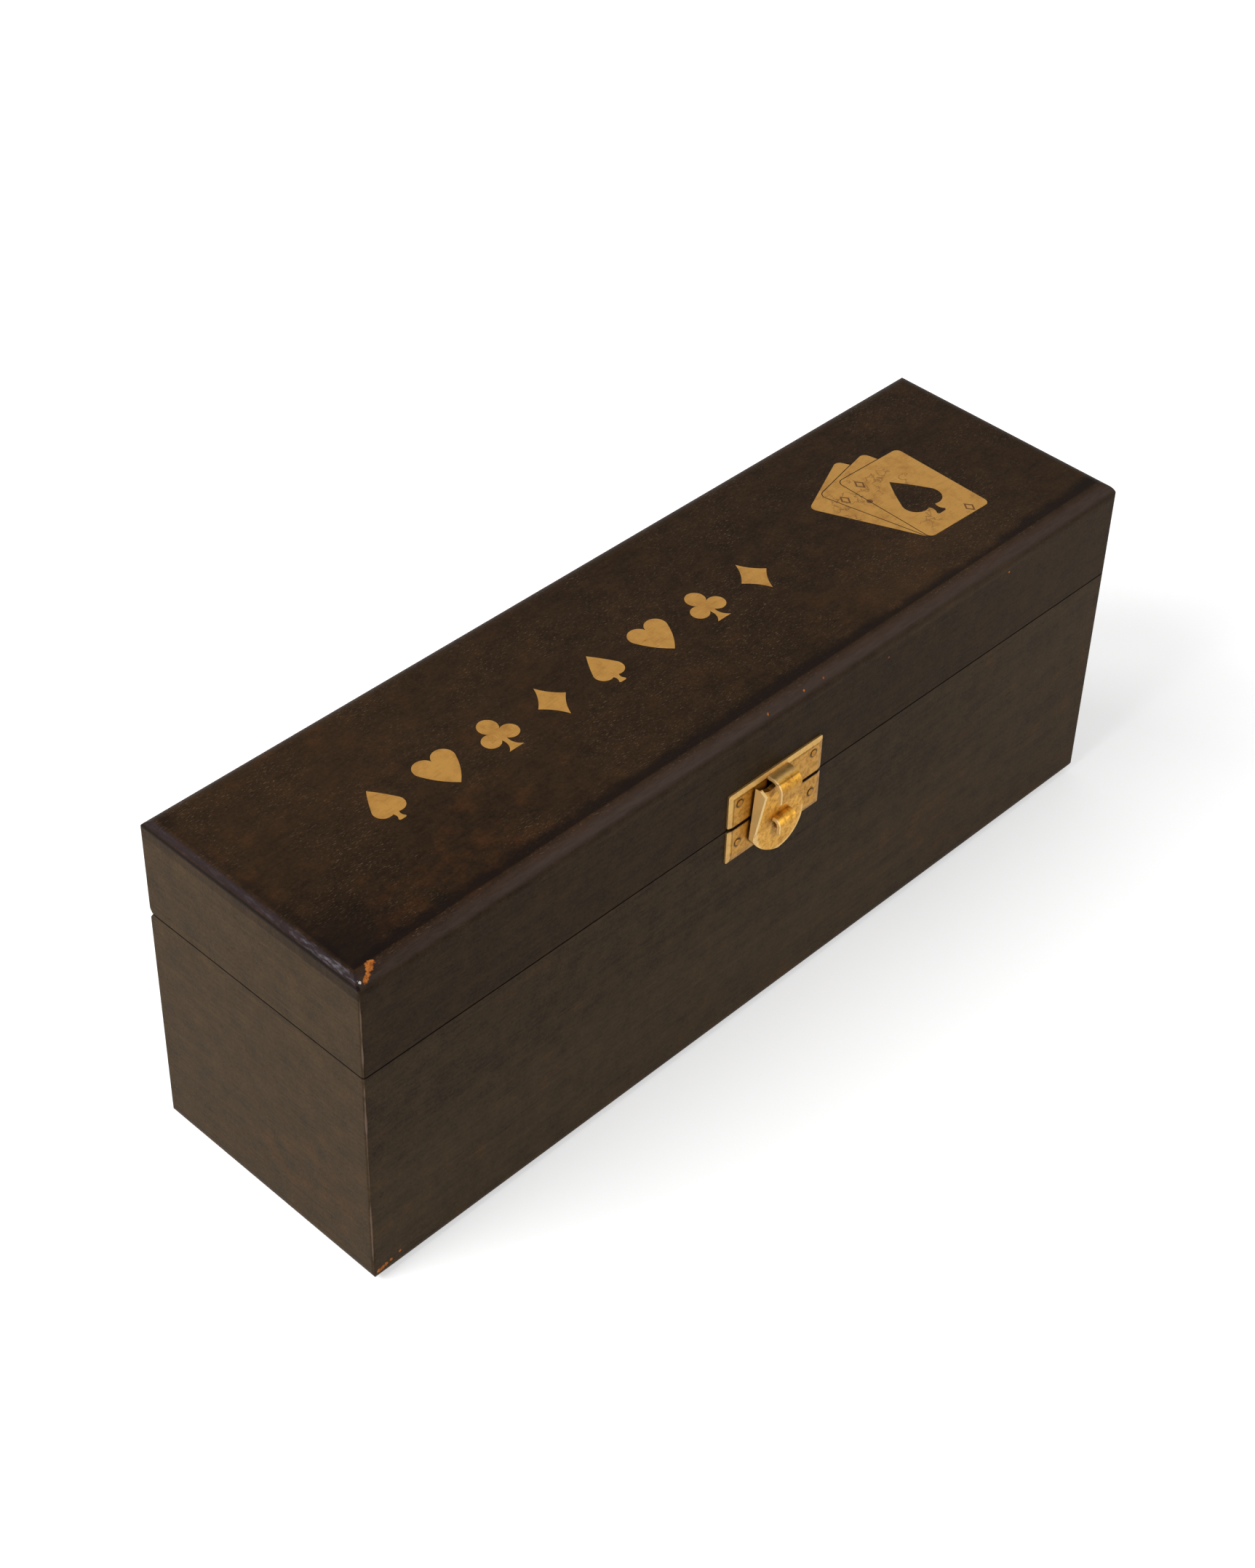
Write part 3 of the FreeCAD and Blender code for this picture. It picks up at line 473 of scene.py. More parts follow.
@dataclass(frozen=True)
class OiledWood:
    """Plain oiled boards with growth-ring figure.

    Attributes:
        name: Material's name.
        grain: Way the grain runs.
        light: Colour of the early wood.
        deep: Colour of the late wood.
    """

    name: str
    grain: Grain
    light: Colour = srgb(176, 132, 88)
    deep: Colour = srgb(122, 82, 50)

    def make(self) -> bpy.types.Material:
        """Builds the material."""
        recipe = Recipe(self.name)
        drawn = recipe.scaled(tuple(max(s * 0.25, 0.008) for s in self.grain.value))
        rings = recipe.noise(drawn, 1.0, 3.0, 0.55, 1.2)
        bands = ((rings * 34.0).math("SINE") * 0.5 + 0.5) ** 1.6
        fine = recipe.noise(recipe.scaled(self.grain.value), 2.2, 3.0, 0.65)
        pores = recipe.noise(recipe.scaled(tuple(max(s, 0.10) for s in self.grain.value)), 3.4, 2.0, 0.6)
        colour = recipe.mix(bands * 0.55 + fine * 0.35, self.light, self.deep)
        pit = pores.rise(0.38, 0.30)
        colour = recipe.mix(pit * 0.5, colour, srgb(70, 44, 28))
        rough = 0.52 + (fine - 0.5) * 0.2 + pit * 0.12
        relief = recipe.bump(fine * 0.6 + pores * 0.6, 0.05)
        return recipe.finish(Base_Color=colour, Roughness=rough, Normal=relief, Specular_IOR_Level=0.35)


@dataclass(frozen=True)
class Brass:
    """Lacquered brass with rolling marks, tarnish and small scratches.

    Attributes:
        name: Material's name.
        clean: Colour of the clean metal.
        tarnish: Colour of the tarnish.
        roughness: Roughness of the clean metal.
        lines: Scale of the rolling or turning marks along X, Y and Z.
        aged: How much tarnish there is.
    """

    name: str
    clean: Colour = srgb(184, 138, 66)
    tarnish: Colour = srgb(132, 86, 34)
    roughness: float = 0.28
    lines: Colour = (0.2, 1.0, 1.0)
    aged: float = 0.4

    def make(self) -> bpy.types.Material:
        """Builds the material."""
        recipe = Recipe(self.name)
        marks = recipe.noise(recipe.scaled(self.lines), 5.0, 3.0, 0.6)
        cloud = recipe.noise(recipe.place(), 0.6, 4.0, 0.7, 0.4)
        specks = recipe.noise(recipe.place(), 2.2, 2.0, 0.7)
        dull = (cloud.rise(0.40, 0.66) * self.aged + specks.rise(0.62, 0.76) * 0.6 * self.aged).clamped()
        colour, rubs_and_highlights = self.marked(recipe, recipe.mix(dull, self.clean, self.tarnish))
        rough = self.roughness + (marks - 0.5) * 0.16 + dull * 0.3
        relief = recipe.bump(marks, 0.012)
        relief = recipe.bump(cloud, 0.05, relief)
        # Painted highlights are made less metallic, so that they stay pale.
        return recipe.finish(Base_Color=colour, Metallic=1.0 - rubs_and_highlights * 0.6, Roughness=rough, Normal=relief)

    def marked(self, recipe: Recipe, colour: Value) -> tuple[Value, Number]:
        """Colour with the marks of one sort of fitting, and where it has painted highlights; plain brass has
        none.
        """
        return colour, 0.0


@dataclass(frozen=True)
class PlateBrass(Brass):
    """Brass of the catch's plates and strap: rubbed edges, dirt beside them and round the pins.

    Attributes:
        half_width: Half the plates' width.
        top: Height of the upper plate's upper edge.
        seam: Height of the middle of the gap between the plates.
        bevel: Width of the bevel.
        strap: Distance of the strap's sides from the middle, and how far forward its root is.
        pins: Distance of the pins from the middle of the plates, height midway and distance from it.
    """

    half_width: float = 19.0
    top: float = 91.5
    seam: float = 79.35
    bevel: float = 1.6
    strap: tuple[float, float] = (4.25, 43.1)
    pins: tuple[float, float, float] = (15.0, 80.4, 7.1)

    # Painted highlight on the bevels and the strap's side.
    pale = srgb(226, 190, 124)
    # Painted shade in the line inside the bevel, round the pins and in the gap between the plates.
    shade_colour = srgb(58, 32, 12)

    def marked(self, recipe: Recipe, colour: Value) -> tuple[Value, Number]:
        """Colour with painted highlights on the left and upper bevels and the strap's side, and painted shade
        in the line inside the bevels, round the pins and in the gap between the plates.
        """
        x, y, z = recipe.axes()
        edge = (x + self.half_width).least(self.top - z)
        # Painted highlights: the bevels and the strap's side.
        bevel = edge.rise(self.bevel * 0.9, self.bevel * 0.75)
        strap_x, strap_y = self.strap
        strap_side = (x + strap_x).rise(0.65, 0.35) * (x + strap_x).rise(-0.5, -0.3)
        strap_side = strap_side * (-y).rise(strap_y, strap_y + 0.2)
        colour = recipe.mix((bevel * 0.4).most(strap_side), colour, self.pale)
        # Painted shade: a line inside the bevel, a ring round each pin and the gap between the plates.
        groove = abs(edge - self.bevel * 1.1).rise(0.28, 0.08)
        gap = abs(z - self.seam).rise(0.95, 0.6)
        pin_x, pin_z, pin_off = self.pins
        away = (abs(x) - pin_x).hypot(abs(z - pin_z) - pin_off)
        ring = away.rise(1.8, 1.2) * away.rise(0.6, 0.9)
        colour = recipe.mix((groove * 0.5).most(ring * 0.9).most(gap * 0.8), colour, self.shade_colour)
        return colour, (bevel * 0.4).most(strap_side)


@dataclass(frozen=True)
class HookBrass(Brass):
    """Brass of the hook: painted highlights on its lip, rim and tab side, painted shade round the finger tab.

    Attributes:
        pivot: Height of the rivet that the hook turns on.
        disc: Radius of the hook's disc.
        lip: Offset and slope of the hook's straight left edge, as x over height above the pivot.
        tab: Distance of the finger tab's sides from the middle, and how far forward its root is.
    """

    pivot: float = 72.7
    disc: float = 9.5
    lip: tuple[float, float] = (-10.957, 0.0857)
    tab: tuple[float, float] = (3.5, 45.3)

    # Painted highlight on the lip, the disc's rim and the tab's side.
    pale = srgb(238, 204, 136)
    # Painted shade beside the finger tab.
    shade_colour = srgb(92, 56, 20)

    def marked(self, recipe: Recipe, colour: Value) -> tuple[Value, Number]:
        """Colour with painted highlights on the lip, the disc's rim and the tab's side, and painted shade
        beside the tab.
        """
        x, y, z = recipe.axes()
        rise = z - self.pivot
        offset, slope = self.lip
        inward = x - (rise * slope + offset)
        lip_side = inward.rise(0.25, 0.10) + inward.rise(0.75, 0.85) * inward.rise(1.05, 0.98)
        tab_x, tab_y = self.tab
        forward = (-y).rise(tab_y, tab_y + 0.2)
        tab_side = (x + tab_x).rise(0.6, 0.35) * forward
        out = x.hypot(rise)
        rim = out.rise(self.disc - 1.0, self.disc - 0.3) * rise.rise(2.0, 0.0)
        # Painted highlights on the lip, the rim and the tab's side.
        bright = lip_side.clamped().most(tab_side).most(rim * 0.6)
        shade = out.rise(6.5, 2.5) * (x.rise(-4.5, -2.5)) * (1.0 - forward)
        colour = recipe.mix(shade * 0.55, colour, self.shade_colour)
        return recipe.mix(bright * 0.85, colour, self.pale), bright


@dataclass(frozen=True)
class InlayBrass:
    """Sheet brass let in flush and lacquered over, scratched both ways and crazed by age.

    Attributes:
        name: Material's name.
        face: Colour of the sheet.
        deep: Colour of its clouds and scratches.
        line: Colour of the cracks and of the engraved marks.
        marks: Places of the hollow diamonds engraved at the corners of the cards, as (x, y).
        dot: Place and radius of a small worn-through dot.
    """

    name: str
    face: Colour = srgb(176, 130, 62)
    deep: Colour = srgb(138, 92, 38)
    line: Colour = srgb(78, 42, 20)
    marks: tuple[tuple[float, float], ...] = ((93.6, 10.6), (108.4, -19.0), (84.6, 8.4))
    dot: tuple[float, float, float] = (89.3, 3.0, 1.15)

    def make(self) -> bpy.types.Material:
        """Builds the material."""
        recipe = Recipe(self.name)
        x, y, _ = recipe.axes()
        hair = recipe.noise(recipe.scaled((0.10, 1.6, 1.0), (0.0, 0.0, 18.0)), 2.4, 3.0, 0.7)
        cross = recipe.noise(recipe.scaled((1.4, 0.09, 1.0), (0.0, 0.0, -30.0)), 2.0, 3.0, 0.7)
        cloud = recipe.noise(recipe.place(), 0.2, 5.0, 0.7)
        colour = recipe.mix(cloud.rise(0.40, 0.75) * 0.6 + hair.rise(0.56, 0.74) * 0.8, self.face, self.deep)
        colour = recipe.mix(cross.rise(0.62, 0.74) * 0.4, colour, srgb(224, 180, 110))
        crazed = abs(recipe.noise(recipe.place(), 0.14, 4.0, 0.6) - 0.5).rise(0.020, 0.007)
        where = recipe.noise(recipe.place(), 0.06, 2.0, 0.5).rise(0.46, 0.56) * x.rise(68.0, 74.0)
        drawn = self.engraved(x, y)
        colour = recipe.mix((crazed * where * 0.5).most(drawn * 0.85), colour, self.line)
        rough = 0.42 + (hair - 0.5) * 0.3 + (cloud - 0.5) * 0.2
        relief = recipe.bump(hair * 0.5 + cross * 0.5, 0.02)
        return recipe.finish(Base_Color=colour, Metallic=0.55, Roughness=rough, Normal=relief,
                             Specular_IOR_Level=0.1)

    def engraved(self, x: Value, y: Value) -> Value:
        """1 on the rims of the hollow diamonds and on the dot."""
        dot_x, dot_y, radius = self.dot
        share = (x - dot_x).hypot(y - dot_y).rise(radius, radius * 0.7)
        for mark_x, mark_y in self.marks:
            away = abs(x - mark_x) + abs(y - mark_y) * 0.7
            share = share.most(abs(away - 1.3).rise(0.42, 0.22))
        return share


@dataclass(frozen=True)
class TurnedSteel:
    """Bright steel with turning marks around it."""

    name: str

    def make(self) -> bpy.types.Material:
        """Builds the material."""
        recipe = Recipe(self.name)
        marks = recipe.noise(recipe.scaled((0.15, 0.15, 3.0)), 3.0, 3.0, 0.6)
        cloud = recipe.noise(recipe.place(), 0.6, 3.0, 0.6)
        colour = recipe.mix(cloud.rise(0.45, 0.75) * 0.5, (0.66, 0.66, 0.68), (0.42, 0.41, 0.40))
        rough = 0.24 + (marks - 0.5) * 0.2 + cloud.rise(0.5, 0.8) * 0.2
        relief = recipe.bump(marks, 0.01)
        return recipe.finish(Base_Color=colour, Metallic=1.0, Roughness=rough, Normal=relief)


@dataclass(frozen=True)
class CardStock:
    """White card, seen at its edges in the deck, with faint grime."""

    name: str

    def make(self) -> bpy.types.Material:
        """Builds the material."""
        recipe = Recipe(self.name)
        layers = recipe.noise(recipe.scaled((0.12, 0.12, 6.0)), 1.5, 2.0, 0.6)
        grime = recipe.noise(recipe.place(), 0.2, 3.0, 0.6)
        colour = recipe.mix(layers.rise(0.45, 0.62) * 0.5, srgb(232, 226, 212), srgb(190, 180, 160))
        colour = recipe.mix(grime.rise(0.5, 0.8) * 0.3, colour, srgb(170, 156, 132))
        return recipe.finish(Base_Color=colour, Roughness=0.55 + (grime - 0.5) * 0.2,
                             Normal=recipe.bump(layers, 0.03), Specular_IOR_Level=0.4)


@dataclass(frozen=True)
class CardBack:
    """Printed back of the uppermost card: a plain lattice in a double frame.

    Attributes:
        name: Material's name.
        centre: Middle of the card along the box.
        ink: Colour of the print.
        half_long: Half the card's length.
        half_wide: Half the card's width.
    """

    name: str
    centre: float
    ink: Colour
    half_long: float = 44.45
    half_wide: float = 31.75

    def make(self) -> bpy.types.Material:
        """Builds the material; the lattice is two sets of slanting lines with a dot at each eye."""
        recipe = Recipe(self.name)
        x, y, _ = recipe.axes()
        along = x - self.centre
        inset = (self.half_long - abs(along)).least(self.half_wide - abs(y))
        pitch = math.pi / 2.6
        first = ((along + y) * pitch).math("COSINE")
        second = ((along - y) * pitch).math("COSINE")
        lines = abs(first).rise(0.30, 0.18).most(abs(second).rise(0.30, 0.18))
        eyes = (abs(first) * abs(second)).rise(0.80, 0.90)
        lattice = lines.most(eyes)
        panel = inset.rise(5.9, 6.1)
        frame_line = inset.rise(4.0, 4.15) * inset.rise(5.2, 5.05)
        ink = (panel * (1.0 - lattice)).most(frame_line)
        wear = recipe.noise(recipe.place(), 0.25, 4.0, 0.7)
        stock = recipe.mix(wear.rise(0.45, 0.8) * 0.35, srgb(234, 229, 216), srgb(196, 184, 160))
        colour = recipe.mix(ink * (1.0 - wear.rise(0.6, 0.85) * 0.4), stock, self.ink)
        weave = recipe.noise(recipe.place(), 2.4, 1.0, 0.5)
        return recipe.finish(Base_Color=colour, Roughness=0.34 + (wear - 0.5) * 0.3,
                             Normal=recipe.bump(weave, 0.02), Specular_IOR_Level=0.5)


# ---------------------------------------------------------------------- meshes from grids


def mesh_from(name: str, points: np.ndarray, index: np.ndarray, crease: float = 35.0) -> bpy.types.Object:
    """Makes a piece from points and a grid of their numbers.

    Each cell of the grid is a face. Where neighbours share a number, as at a pole, the cell becomes
    a triangle. Faces turn their fronts outwards when the rows run up and the columns run round.

    Args:
        name: Piece's name.
        points: Points as rows, in millimetres.
        index: Grid of point numbers, already closed where it is to close.
        crease: Angle in degrees past which an edge stays sharp.

    Returns:
        The linked object, at the origin, in metres.
    """
    cells = np.stack([index[:-1, :-1], index[:-1, 1:], index[1:, 1:], index[1:, :-1]], -1).reshape(-1, 4)
    same = cells == np.roll(cells, -1, axis=1)
    quads = cells[~same.any(1)]
    flat = cells[same.sum(1) == 1]
    keep = ~same[same.sum(1) == 1]
    triangles = flat[keep].reshape(-1, 3)
    mesh = bpy.data.meshes.new(name)
    mesh.from_pydata((points * MM).tolist(), [], quads.tolist() + triangles.tolist())
    mesh.validate()
    mesh.shade_smooth()
    mesh.set_sharp_from_angle(angle=math.radians(crease))
    piece = bpy.data.objects.new(name, mesh)
    bpy.context.scene.collection.objects.link(piece)
    return piece


def eased(corners: np.ndarray, reach: np.ndarray, steps: int = 5) -> np.ndarray:
    """Rounds the corners of a line of points.

    Each corner becomes a quadratic curve from reach before it to reach after it:
    (1-t)^2 a + 2t(1-t) c + t^2 b.

    Args:
        corners: Points as rows.
        reach: Distance before and after each corner that its curve takes, 0 for the two ends.
        steps: Points in each curve.

    Returns:
        The points of the rounded line.
    """
    before = np.roll(corners, 1, axis=0) - corners
    after = np.roll(corners, -1, axis=0) - corners
    before /= np.maximum(np.linalg.norm(before, axis=1, keepdims=True), 1e-9)
    after /= np.maximum(np.linalg.norm(after, axis=1, keepdims=True), 1e-9)
    start = corners + before * reach[:, None]
    end = corners + after * reach[:, None]
    t = np.linspace(0, 1, steps)[None, :, None]
    curve = (1 - t) ** 2 * start[:, None] + 2 * t * (1 - t) * corners[:, None] + t ** 2 * end[:, None]
    line = curve.reshape(-1, corners.shape[1])
    fresh = np.r_[True, np.linalg.norm(np.diff(line, axis=0), axis=1) > 1e-6]
    return line[fresh]


def turned(name: str, outline: np.ndarray, seat: tuple[float, float, float], facing: np.ndarray,
           around: int = 48) -> bpy.types.Object:
    """Piece turned on a lathe.

    Args:
        name: Piece's name.
        outline: Rows of (radius, height) from one end on the axis to the other.
        seat: Point of the axis where height is 0.
        facing: Rows are the two directions across the axis and the one along it.
        around: Points around the axis.

    Returns:
        The piece; a point is seat + radius cos(a) u + radius sin(a) v + height w.
    """
    angle = np.linspace(0, 2 * np.pi, around, endpoint=False)
    radius, height = outline[:, 0, None], outline[:, 1, None]
    local = np.stack(np.broadcast_arrays(radius * np.cos(angle), radius * np.sin(angle), height), -1)
    points = local @ facing + np.array(seat)
    rings, columns = points.shape[:2]
    index = np.arange(rings * columns).reshape(rings, columns)
    index = np.concatenate([index, index[:, :1]], axis=1)
    for end in (0, -1):
        if outline[end, 0] < 1e-6:
            index[end] = index[end, 0]
    return mesh_from(name, points.reshape(-1, 3), index)


UPRIGHT = np.eye(3)
ALONG_BOX = np.array([[0.0, 1.0, 0.0], [0.0, 0.0, 1.0], [1.0, 0.0, 0.0]])


def give(piece: bpy.types.Object, material: bpy.types.Material) -> None:
    """Puts one material on the whole of a piece, in place of what it has."""
    piece.data.materials.clear()
    piece.data.materials.append(material)


def settle(piece: bpy.types.Object, body: str, slot: str, *nodes: str) -> None:
    """Puts a new piece on its body and hides the nodes that it stands for."""
    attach(piece, body)
    if nodes:
        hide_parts(*nodes)
    LOG.info("%s rides on %s, %d faces", piece.name, body, len(piece.data.polygons))


# ---------------------------------------------------------------------- parts of the box


@dataclass
class WoodenBox:
    """Boards of the base and the lid."""

    nodes: dict[str, bpy.types.Object]
    corner_spots: tuple[Spot, ...] = (
        (-147.0, -40.8, 110.3, 0.8), (-146.3, -40.4, 110.7, 0.9), (-145.2, -40.0, 111.0, 0.8),
        (-144.2, -39.2, 111.5, 1.0), (-143.4, -38.4, 111.8, 1.3), (-142.3, -38.2, 111.9, 0.9))
    # Painted highlights at the top's front left corner.
    glints: tuple[Spot, ...] = (
        (-148.3, -40.6, 110.6, 0.5), (-148.6, -39.8, 110.8, 0.32), (-148.8, -38.6, 110.9, 0.24))
    crest_spots: tuple[Spot, ...] = (
        (19.4, -40.6, 110.2, 0.5), (11.4, -40.7, 110.4, 0.4), (-3.0, -40.6, 110.4, 0.4))
    lid_spots: tuple[Spot, ...] = ((46.2, -42.0, 103.3, 0.4), (99.3, -42.0, 105.3, 0.4))
    foot_spots: tuple[Spot, ...] = (
        (-148.2, -42.0, 4.4, 0.8), (-147.0, -42.0, 4.6, 0.9), (-145.6, -42.0, 4.9, 0.8),
        (-143.8, -42.0, 5.3, 0.6), (-140.6, -42.0, 6.1, 0.5),
        (-57.8, -41.0, 1.4, 0.6), (-32.1, -41.0, 1.4, 0.7), (-23.5, -41.0, 1.4, 0.5),
        (-2.6, -41.0, 1.4, 0.6), (16.0, -41.0, 1.4, 0.6))

    def dress(self) -> None:
        """Gives each board its stained finish, with the grain its own way."""
        side = dict(stain=srgb(61, 48, 33), warm=srgb(68, 47, 30), warm_share=0.35)
        lid_side = dict(stain=srgb(53, 40, 26), warm=srgb(59, 41, 24), warm_share=0.35, upper_shade=0.19)
        board = dict(stain=srgb(92, 60, 38), warm=srgb(108, 66, 38), warm_share=0.6, sheen=0.42, worn=0.0)
        finishes = {
            "lid_top": StainedWood("stain_top", Grain.SHORT, flecked=0.34, hemmed=0.92, glints=self.glints,
                                   skirt=srgb(55, 42, 29), deeper=0.2,
                                   bare_spots=self.corner_spots + self.crest_spots),
            "lid_long": StainedWood("stain_lid_long", Grain.LENGTHWISE, bare_spots=self.lid_spots,
                                    **lid_side),
            "long": StainedWood("stain_long", Grain.LENGTHWISE, upper_shade=0.21, bare_spots=self.foot_spots,
                                **side),
            "end": StainedWood("stain_end", Grain.ACROSS, **side),
            "board": StainedWood("stain_board", Grain.LENGTHWISE, **board),
        }
        made = {key: finish.make() for key, finish in finishes.items()}
        given = {
            "lid_top": ("lid_top",),
            "lid_long": ("lid_front", "lid_back"),
            "long": ("base_front", "base_back", "base_bottom"),
            "end": ("lid_left_end", "lid_right_end", "base_left_end", "base_right_rail", "drawer_front"),
            "board": ("cribbage_board",),
        }
        for key, names in given.items():
            for name in names:
                give(self.nodes[name], made[key])
                LOG.info("%s has finish %s", name, key)


@dataclass
class CardDrawer:
    """Drawer boards, knob, screw and the two decks in it."""

    nodes: dict[str, bpy.types.Object]
    knob_seat: tuple[float, float, float] = (150.0, 0.0, 30.6)
    floor: float = 8.0
    card: float = 16.0 / 52
    cards: int = 52
    half_wide: float = 31.75
    corner: float = 3.2
    deck_starts: tuple[float, float] = (-138.7, -43.2)
    deck_length: float = 88.9
    inks: tuple[Colour, Colour] = (srgb(140, 30, 34), srgb(32, 52, 104))

    def dress(self) -> None:
        """Finishes the drawer's boards and makes its knob and decks."""
        lengthwise = OiledWood("oiled_lengthwise", Grain.LENGTHWISE).make()
        across = OiledWood("oiled_across", Grain.ACROSS).make()
        for name in ("drawer_side_front", "drawer_side_back", "drawer_bottom"):
            give(self.nodes[name], lengthwise)
        for name in ("drawer_back", "drawer_divider_1", "drawer_divider_2"):
            give(self.nodes[name], across)
        give(self.nodes["drawer_knob_screw"], TurnedSteel("drawer_screw_steel").make())
        self.make_knob()
        stock = CardStock("card_stock").make()
        for number, (start, ink) in enumerate(zip(self.deck_starts, self.inks), 1):
            self.make_deck(number, start, stock, ink)

    def make_knob(self) -> None:
        """Turned knob: foot ring, hollow neck and a grooved, domed head."""
        corners = np.array([(0, 0.0), (4.5, 0.0), (4.5, 1.6), (3.1, 1.9), (2.9, 4.0), (3.6, 5.1), (6.1, 6.3),
                            (6.5, 7.3), (6.1, 7.9), (6.5, 8.5), (6.3, 10.6), (4.2, 11.8), (0.0, 12.0)])
        reach = np.array([0, 0.35, 0.35, 0.35, 0.8, 0.5, 0.5, 0.35, 0.2, 0.3, 0.9, 1.1, 0])
        knob = turned("knob_turned", eased(corners, reach), self.knob_seat, ALONG_BOX, 64)
        give(knob, Brass("knob_brass", lines=(3.0, 0.15, 0.15), roughness=0.24).make())
        settle(knob, "drawer", "brass", "drawer_knob")

    def make_deck(self, number: int, start: float, stock: bpy.types.Material, ink: Colour) -> None:
        """Deck of loose cards.

        Each card is three rings of one rounded rectangle, drawn in a little at its two faces, and is
        shifted and turned a hair from the next.
        """
        rng = np.random.default_rng(40 + number)
        steps = 7
        quarter = np.linspace(0, np.pi / 2, steps)
        angle = np.concatenate([quarter + i * np.pi / 2 for i in range(4)])
        half_long = self.deck_length / 2
        centre_u = np.repeat([1.0, -1.0, -1.0, 1.0], steps) * (half_long - self.corner)
        centre_v = np.repeat([1.0, 1.0, -1.0, -1.0], steps) * (self.half_wide - self.corner)
        outward = np.stack([np.cos(angle), np.sin(angle)], -1)
        outline = np.stack([centre_u, centre_v], -1) + self.corner * outward
        inset = np.tile([0.09, 0.0, 0.09], self.cards)
        level = np.repeat(np.arange(self.cards), 3) + np.tile([0.04, 0.5, 0.96], self.cards)
        shift = np.repeat(rng.uniform(-0.16, 0.16, (self.cards, 2)) * (1.0, 1.0), 3, axis=0)
        turn = np.repeat(rng.uniform(-0.0016, 0.0016, self.cards), 3)
        ring = outline[None] - inset[:, None, None] * outward[None]
        u = ring[..., 0] - turn[:, None] * ring[..., 1] + shift[:, :1]
        v = ring[..., 1] + turn[:, None] * ring[..., 0] + shift[:, 1:]
        w = np.broadcast_to(self.floor + level[:, None] * self.card, u.shape)
        points = np.stack([u + start + half_long, v, w], -1)
        rings, columns = points.shape[:2]
        middle = points[[0, -1]].mean(1)
        every = np.concatenate([points.reshape(-1, 3), middle])
        index = np.arange(rings * columns).reshape(rings, columns)
        low, high = (np.full((1, columns), rings * columns + end) for end in (0, 1))
        index = np.concatenate([low, index, high])
        index = np.concatenate([index, index[:, :1]], axis=1)
        deck = mesh_from(f"deck_{number}_cards", every, index)
        give(deck, stock)
        deck.data.materials.append(CardBack(f"card_back_{number}", start + half_long, ink).make())
        top = (self.floor + self.cards * self.card - 0.05) * MM
        heights = np.array([face.center.z for face in deck.data.polygons])
        deck.data.polygons.foreach_set("material_index", (heights > top).astype(np.int32))
        settle(deck, f"deck_{number}", "card", f"card_deck_{number}")


@dataclass
class PegSet:
    """Turned pegs, two players' in brass and steel."""

    board_top: float = 72.0
    brass_pegs: tuple[int, ...] = (1, 2, 5)
    spots: tuple[tuple[float, float], ...] = (
        (-119.0, -21.0), (-119.0, -13.0), (-119.0, 13.0), (-119.0, 21.0), (-109.0, 0.0), (-102.0, 0.0))

    def make(self) -> None:
        """Turns each peg: shank, collar, waist with two rings and a grooved head."""
        corners = np.array([(0, -9.6), (1.2, -9.6), (1.55, -9.0), (1.55, 0.0), (2.2, 0.0), (2.2, 2.0),
                            (1.5, 2.3), (1.35, 5.0), (1.7, 5.6), (1.35, 6.2), (1.35, 14.6), (2.3, 16.2),
                            (2.5, 17.0), (2.25, 17.5), (2.5, 18.0), (2.5, 19.6), (1.6, 20.9), (0.0, 21.0)])
        reach = np.array([0, 0.2, 0.3, 0, 0.3, 0.4, 0.3, 0.3, 0.3, 0.3, 0.9, 0.5, 0.25, 0.2, 0.25, 0.6,
                          0.5, 0])
        outline = eased(corners, reach)
        brass = Brass("peg_brass", lines=(0.15, 0.15, 3.0), roughness=0.25, aged=0.3).make()
        steel = TurnedSteel("peg_steel").make()
        for number, (x, y) in enumerate(self.spots, 1):
            peg = turned(f"peg_{number}_turned", outline, (x, y, self.board_top), UPRIGHT, 40)
            is_brass = number in self.brass_pegs
            give(peg, brass if is_brass else steel)
            settle(peg, f"peg_{number}", "brass" if is_brass else "steel", f"peg_{number}")


@dataclass
class LidInlays:
    """Brass signs and cards let into the lid."""

    nodes: dict[str, bpy.types.Object]

    def dress(self) -> None:
        """Gives the inlays their scratched sheet brass."""
        brass = InlayBrass("inlay_brass_sheet").make()
        for name in ("inlay_pips", "inlay_cards"):
            give(self.nodes[name], brass)


@dataclass
class TurnCatch:
    """Brass plates, hook, pins and rivet on the front."""

    nodes: dict[str, bpy.types.Object]

    def dress(self) -> None:
        """Gives the catch its lacquered brass."""
        plate = PlateBrass("catch_plate_brass", clean=srgb(182, 134, 52), tarnish=srgb(128, 80, 24),
                           roughness=0.34, aged=0.6).make()
        hook = HookBrass("catch_hook_brass", clean=srgb(208, 156, 62), tarnish=srgb(142, 92, 30),
                         roughness=0.36, aged=0.65, lines=(1.0, 1.0, 0.2)).make()
        head = Brass("catch_pin_brass", clean=srgb(168, 120, 48), roughness=0.34, aged=0.8).make()
        for name in ("catch_upper_plate", "catch_lower_plate"):
            give(self.nodes[name], plate)
        give(self.nodes["catch_hook"], hook)
        for name in ("catch_pins_lid", "catch_pins_base", "catch_rivet"):
            give(self.nodes[name], head)


@dataclass
class Hinges:
    """Pair of butt hinges at the back."""

    nodes: dict[str, bpy.types.Object]

    def dress(self) -> None:
        """Gives leaves, pins and screws their brass."""
        leaf = Brass("hinge_brass", roughness=0.34, aged=0.6).make()
        for name in self.nodes:
            if name.startswith("hinge_"):
                give(self.nodes[name], leaf)


# ---------------------------------------------------------------------- studio


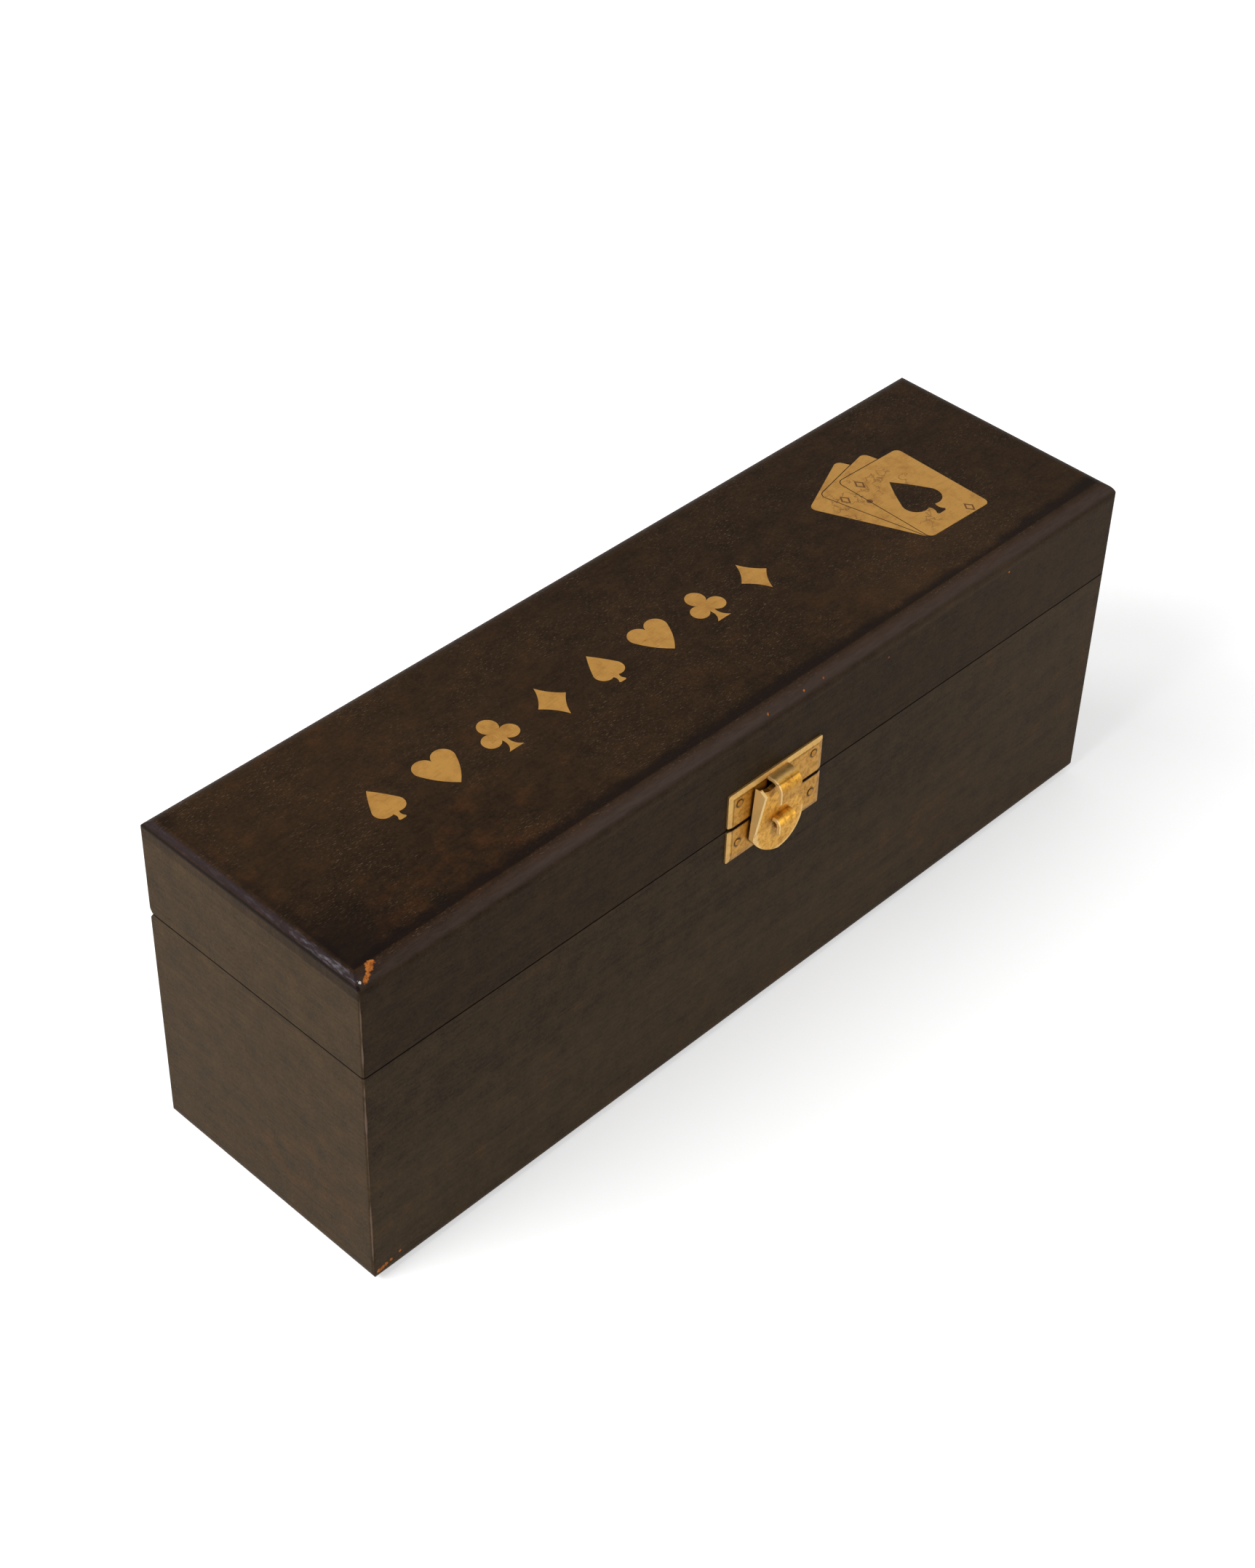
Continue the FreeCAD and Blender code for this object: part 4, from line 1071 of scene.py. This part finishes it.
@dataclass
class Studio:
    """Camera, floor, lamps and the light from all round."""

    camera_place: tuple[float, float, float] = (-0.45846, -0.41603, 0.59791)
    camera_turn: tuple[float, float, float] = (48.8821, -1.4171, -45.6797)
    lens: float = 65.633
    floor_half: float = 6.0
    floor_fade: tuple[float, float] = (700.0, 2500.0)
    near_glow: Colour = (0.45, 0.45, 0.45)
    around: Colour = (0.35, 0.35, 0.35)
    lamps: tuple[tuple[str, tuple[float, float, float], float, float], ...] = (
        ("key_lamp", (-1.5, 0.35, 1.35), 34.0, 1.3),
        ("rim_lamp", (-0.8, 1.5, 1.2), 10.0, 0.7),
        ("fill_lamp", (0.7, -1.9, 1.1), 14.0, 1.6),
    )

    def make(self) -> None:
        """Sets up everything that isn't the object."""
        self.make_camera()
        self.make_floor()
        self.make_world()
        for name, place, power, size in self.lamps:
            self.make_lamp(name, place, power, size)
        bpy.context.scene.view_settings.view_transform = "Standard"

    def make_camera(self) -> None:
        """Camera at the height and distance of a person standing over the box."""
        data = bpy.data.cameras.new("camera")
        data.lens = self.lens
        data.sensor_width = 36.0
        data.clip_start = 0.01
        camera = bpy.data.objects.new("camera", data)
        camera.location = self.camera_place
        camera.rotation_euler = tuple(math.radians(angle) for angle in self.camera_turn)
        bpy.context.scene.collection.objects.link(camera)
        bpy.context.scene.camera = camera

    def make_floor(self) -> None:
        """Pale floor that looks white to the camera and keeps the box's shadow."""
        half = self.floor_half / MM
        span = np.array([-half, half])
        points = np.stack(np.broadcast_arrays(span[None, :], span[:, None], np.zeros((2, 2))), -1)
        floor = mesh_from("floor", points.reshape(-1, 3), np.arange(4).reshape(2, 2))
        recipe = Recipe("floor_white")
        x, y, _ = recipe.axes()
        far = x.hypot(y).rise(*self.floor_fade)
        seen_glow = recipe.mix(far, self.near_glow, (1.0, 1.0, 1.0))
        glow = recipe.mix(recipe.seen(), (0.0, 0.0, 0.0), seen_glow)
        give(floor, recipe.finish(Base_Color=(0.8, 0.8, 0.8), Roughness=0.9, Specular_IOR_Level=0.0,
                                  Emission_Color=glow, Emission_Strength=1.0))

    def make_world(self) -> None:
        """Even light from all round, white where it is seen or mirrored."""
        recipe = Recipe("studio", world=True)
        light = recipe.mix(recipe.seen(), self.around, (1.0, 1.0, 1.0))
        bpy.context.scene.world = recipe.finish(Color=light, Strength=1.0)

    def make_lamp(self, name: str, place: tuple[float, float, float], power: float, size: float) -> None:
        """Square soft lamp that faces the middle of the box."""
        data = bpy.data.lights.new(name, "AREA")
        data.energy = power
        data.size = size
        lamp = bpy.data.objects.new(name, data)
        back = np.array(place) - np.array([0.0, 0.0, 0.06])
        back /= np.linalg.norm(back)
        right = np.cross([0.0, 0.0, 1.0], back)
        right /= np.linalg.norm(right)
        turn = Matrix(np.stack([right, np.cross(back, right), back], 1).tolist())
        lamp.matrix_world = Matrix.Translation(place) @ turn.to_4x4()
        bpy.context.scene.collection.objects.link(lamp)


def main() -> None:
    """Loads the frame and builds each sub-assembly."""
    logging.basicConfig(level=logging.INFO, format="%(name)s: %(message)s")
    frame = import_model()
    nodes = frame["nodes"]
    Studio().make()
    WoodenBox(nodes).dress()
    LidInlays(nodes).dress()
    TurnCatch(nodes).dress()
    Hinges(nodes).dress()
    PegSet().make()
    CardDrawer(nodes).dress()


if __name__ == "__main__":
    main()
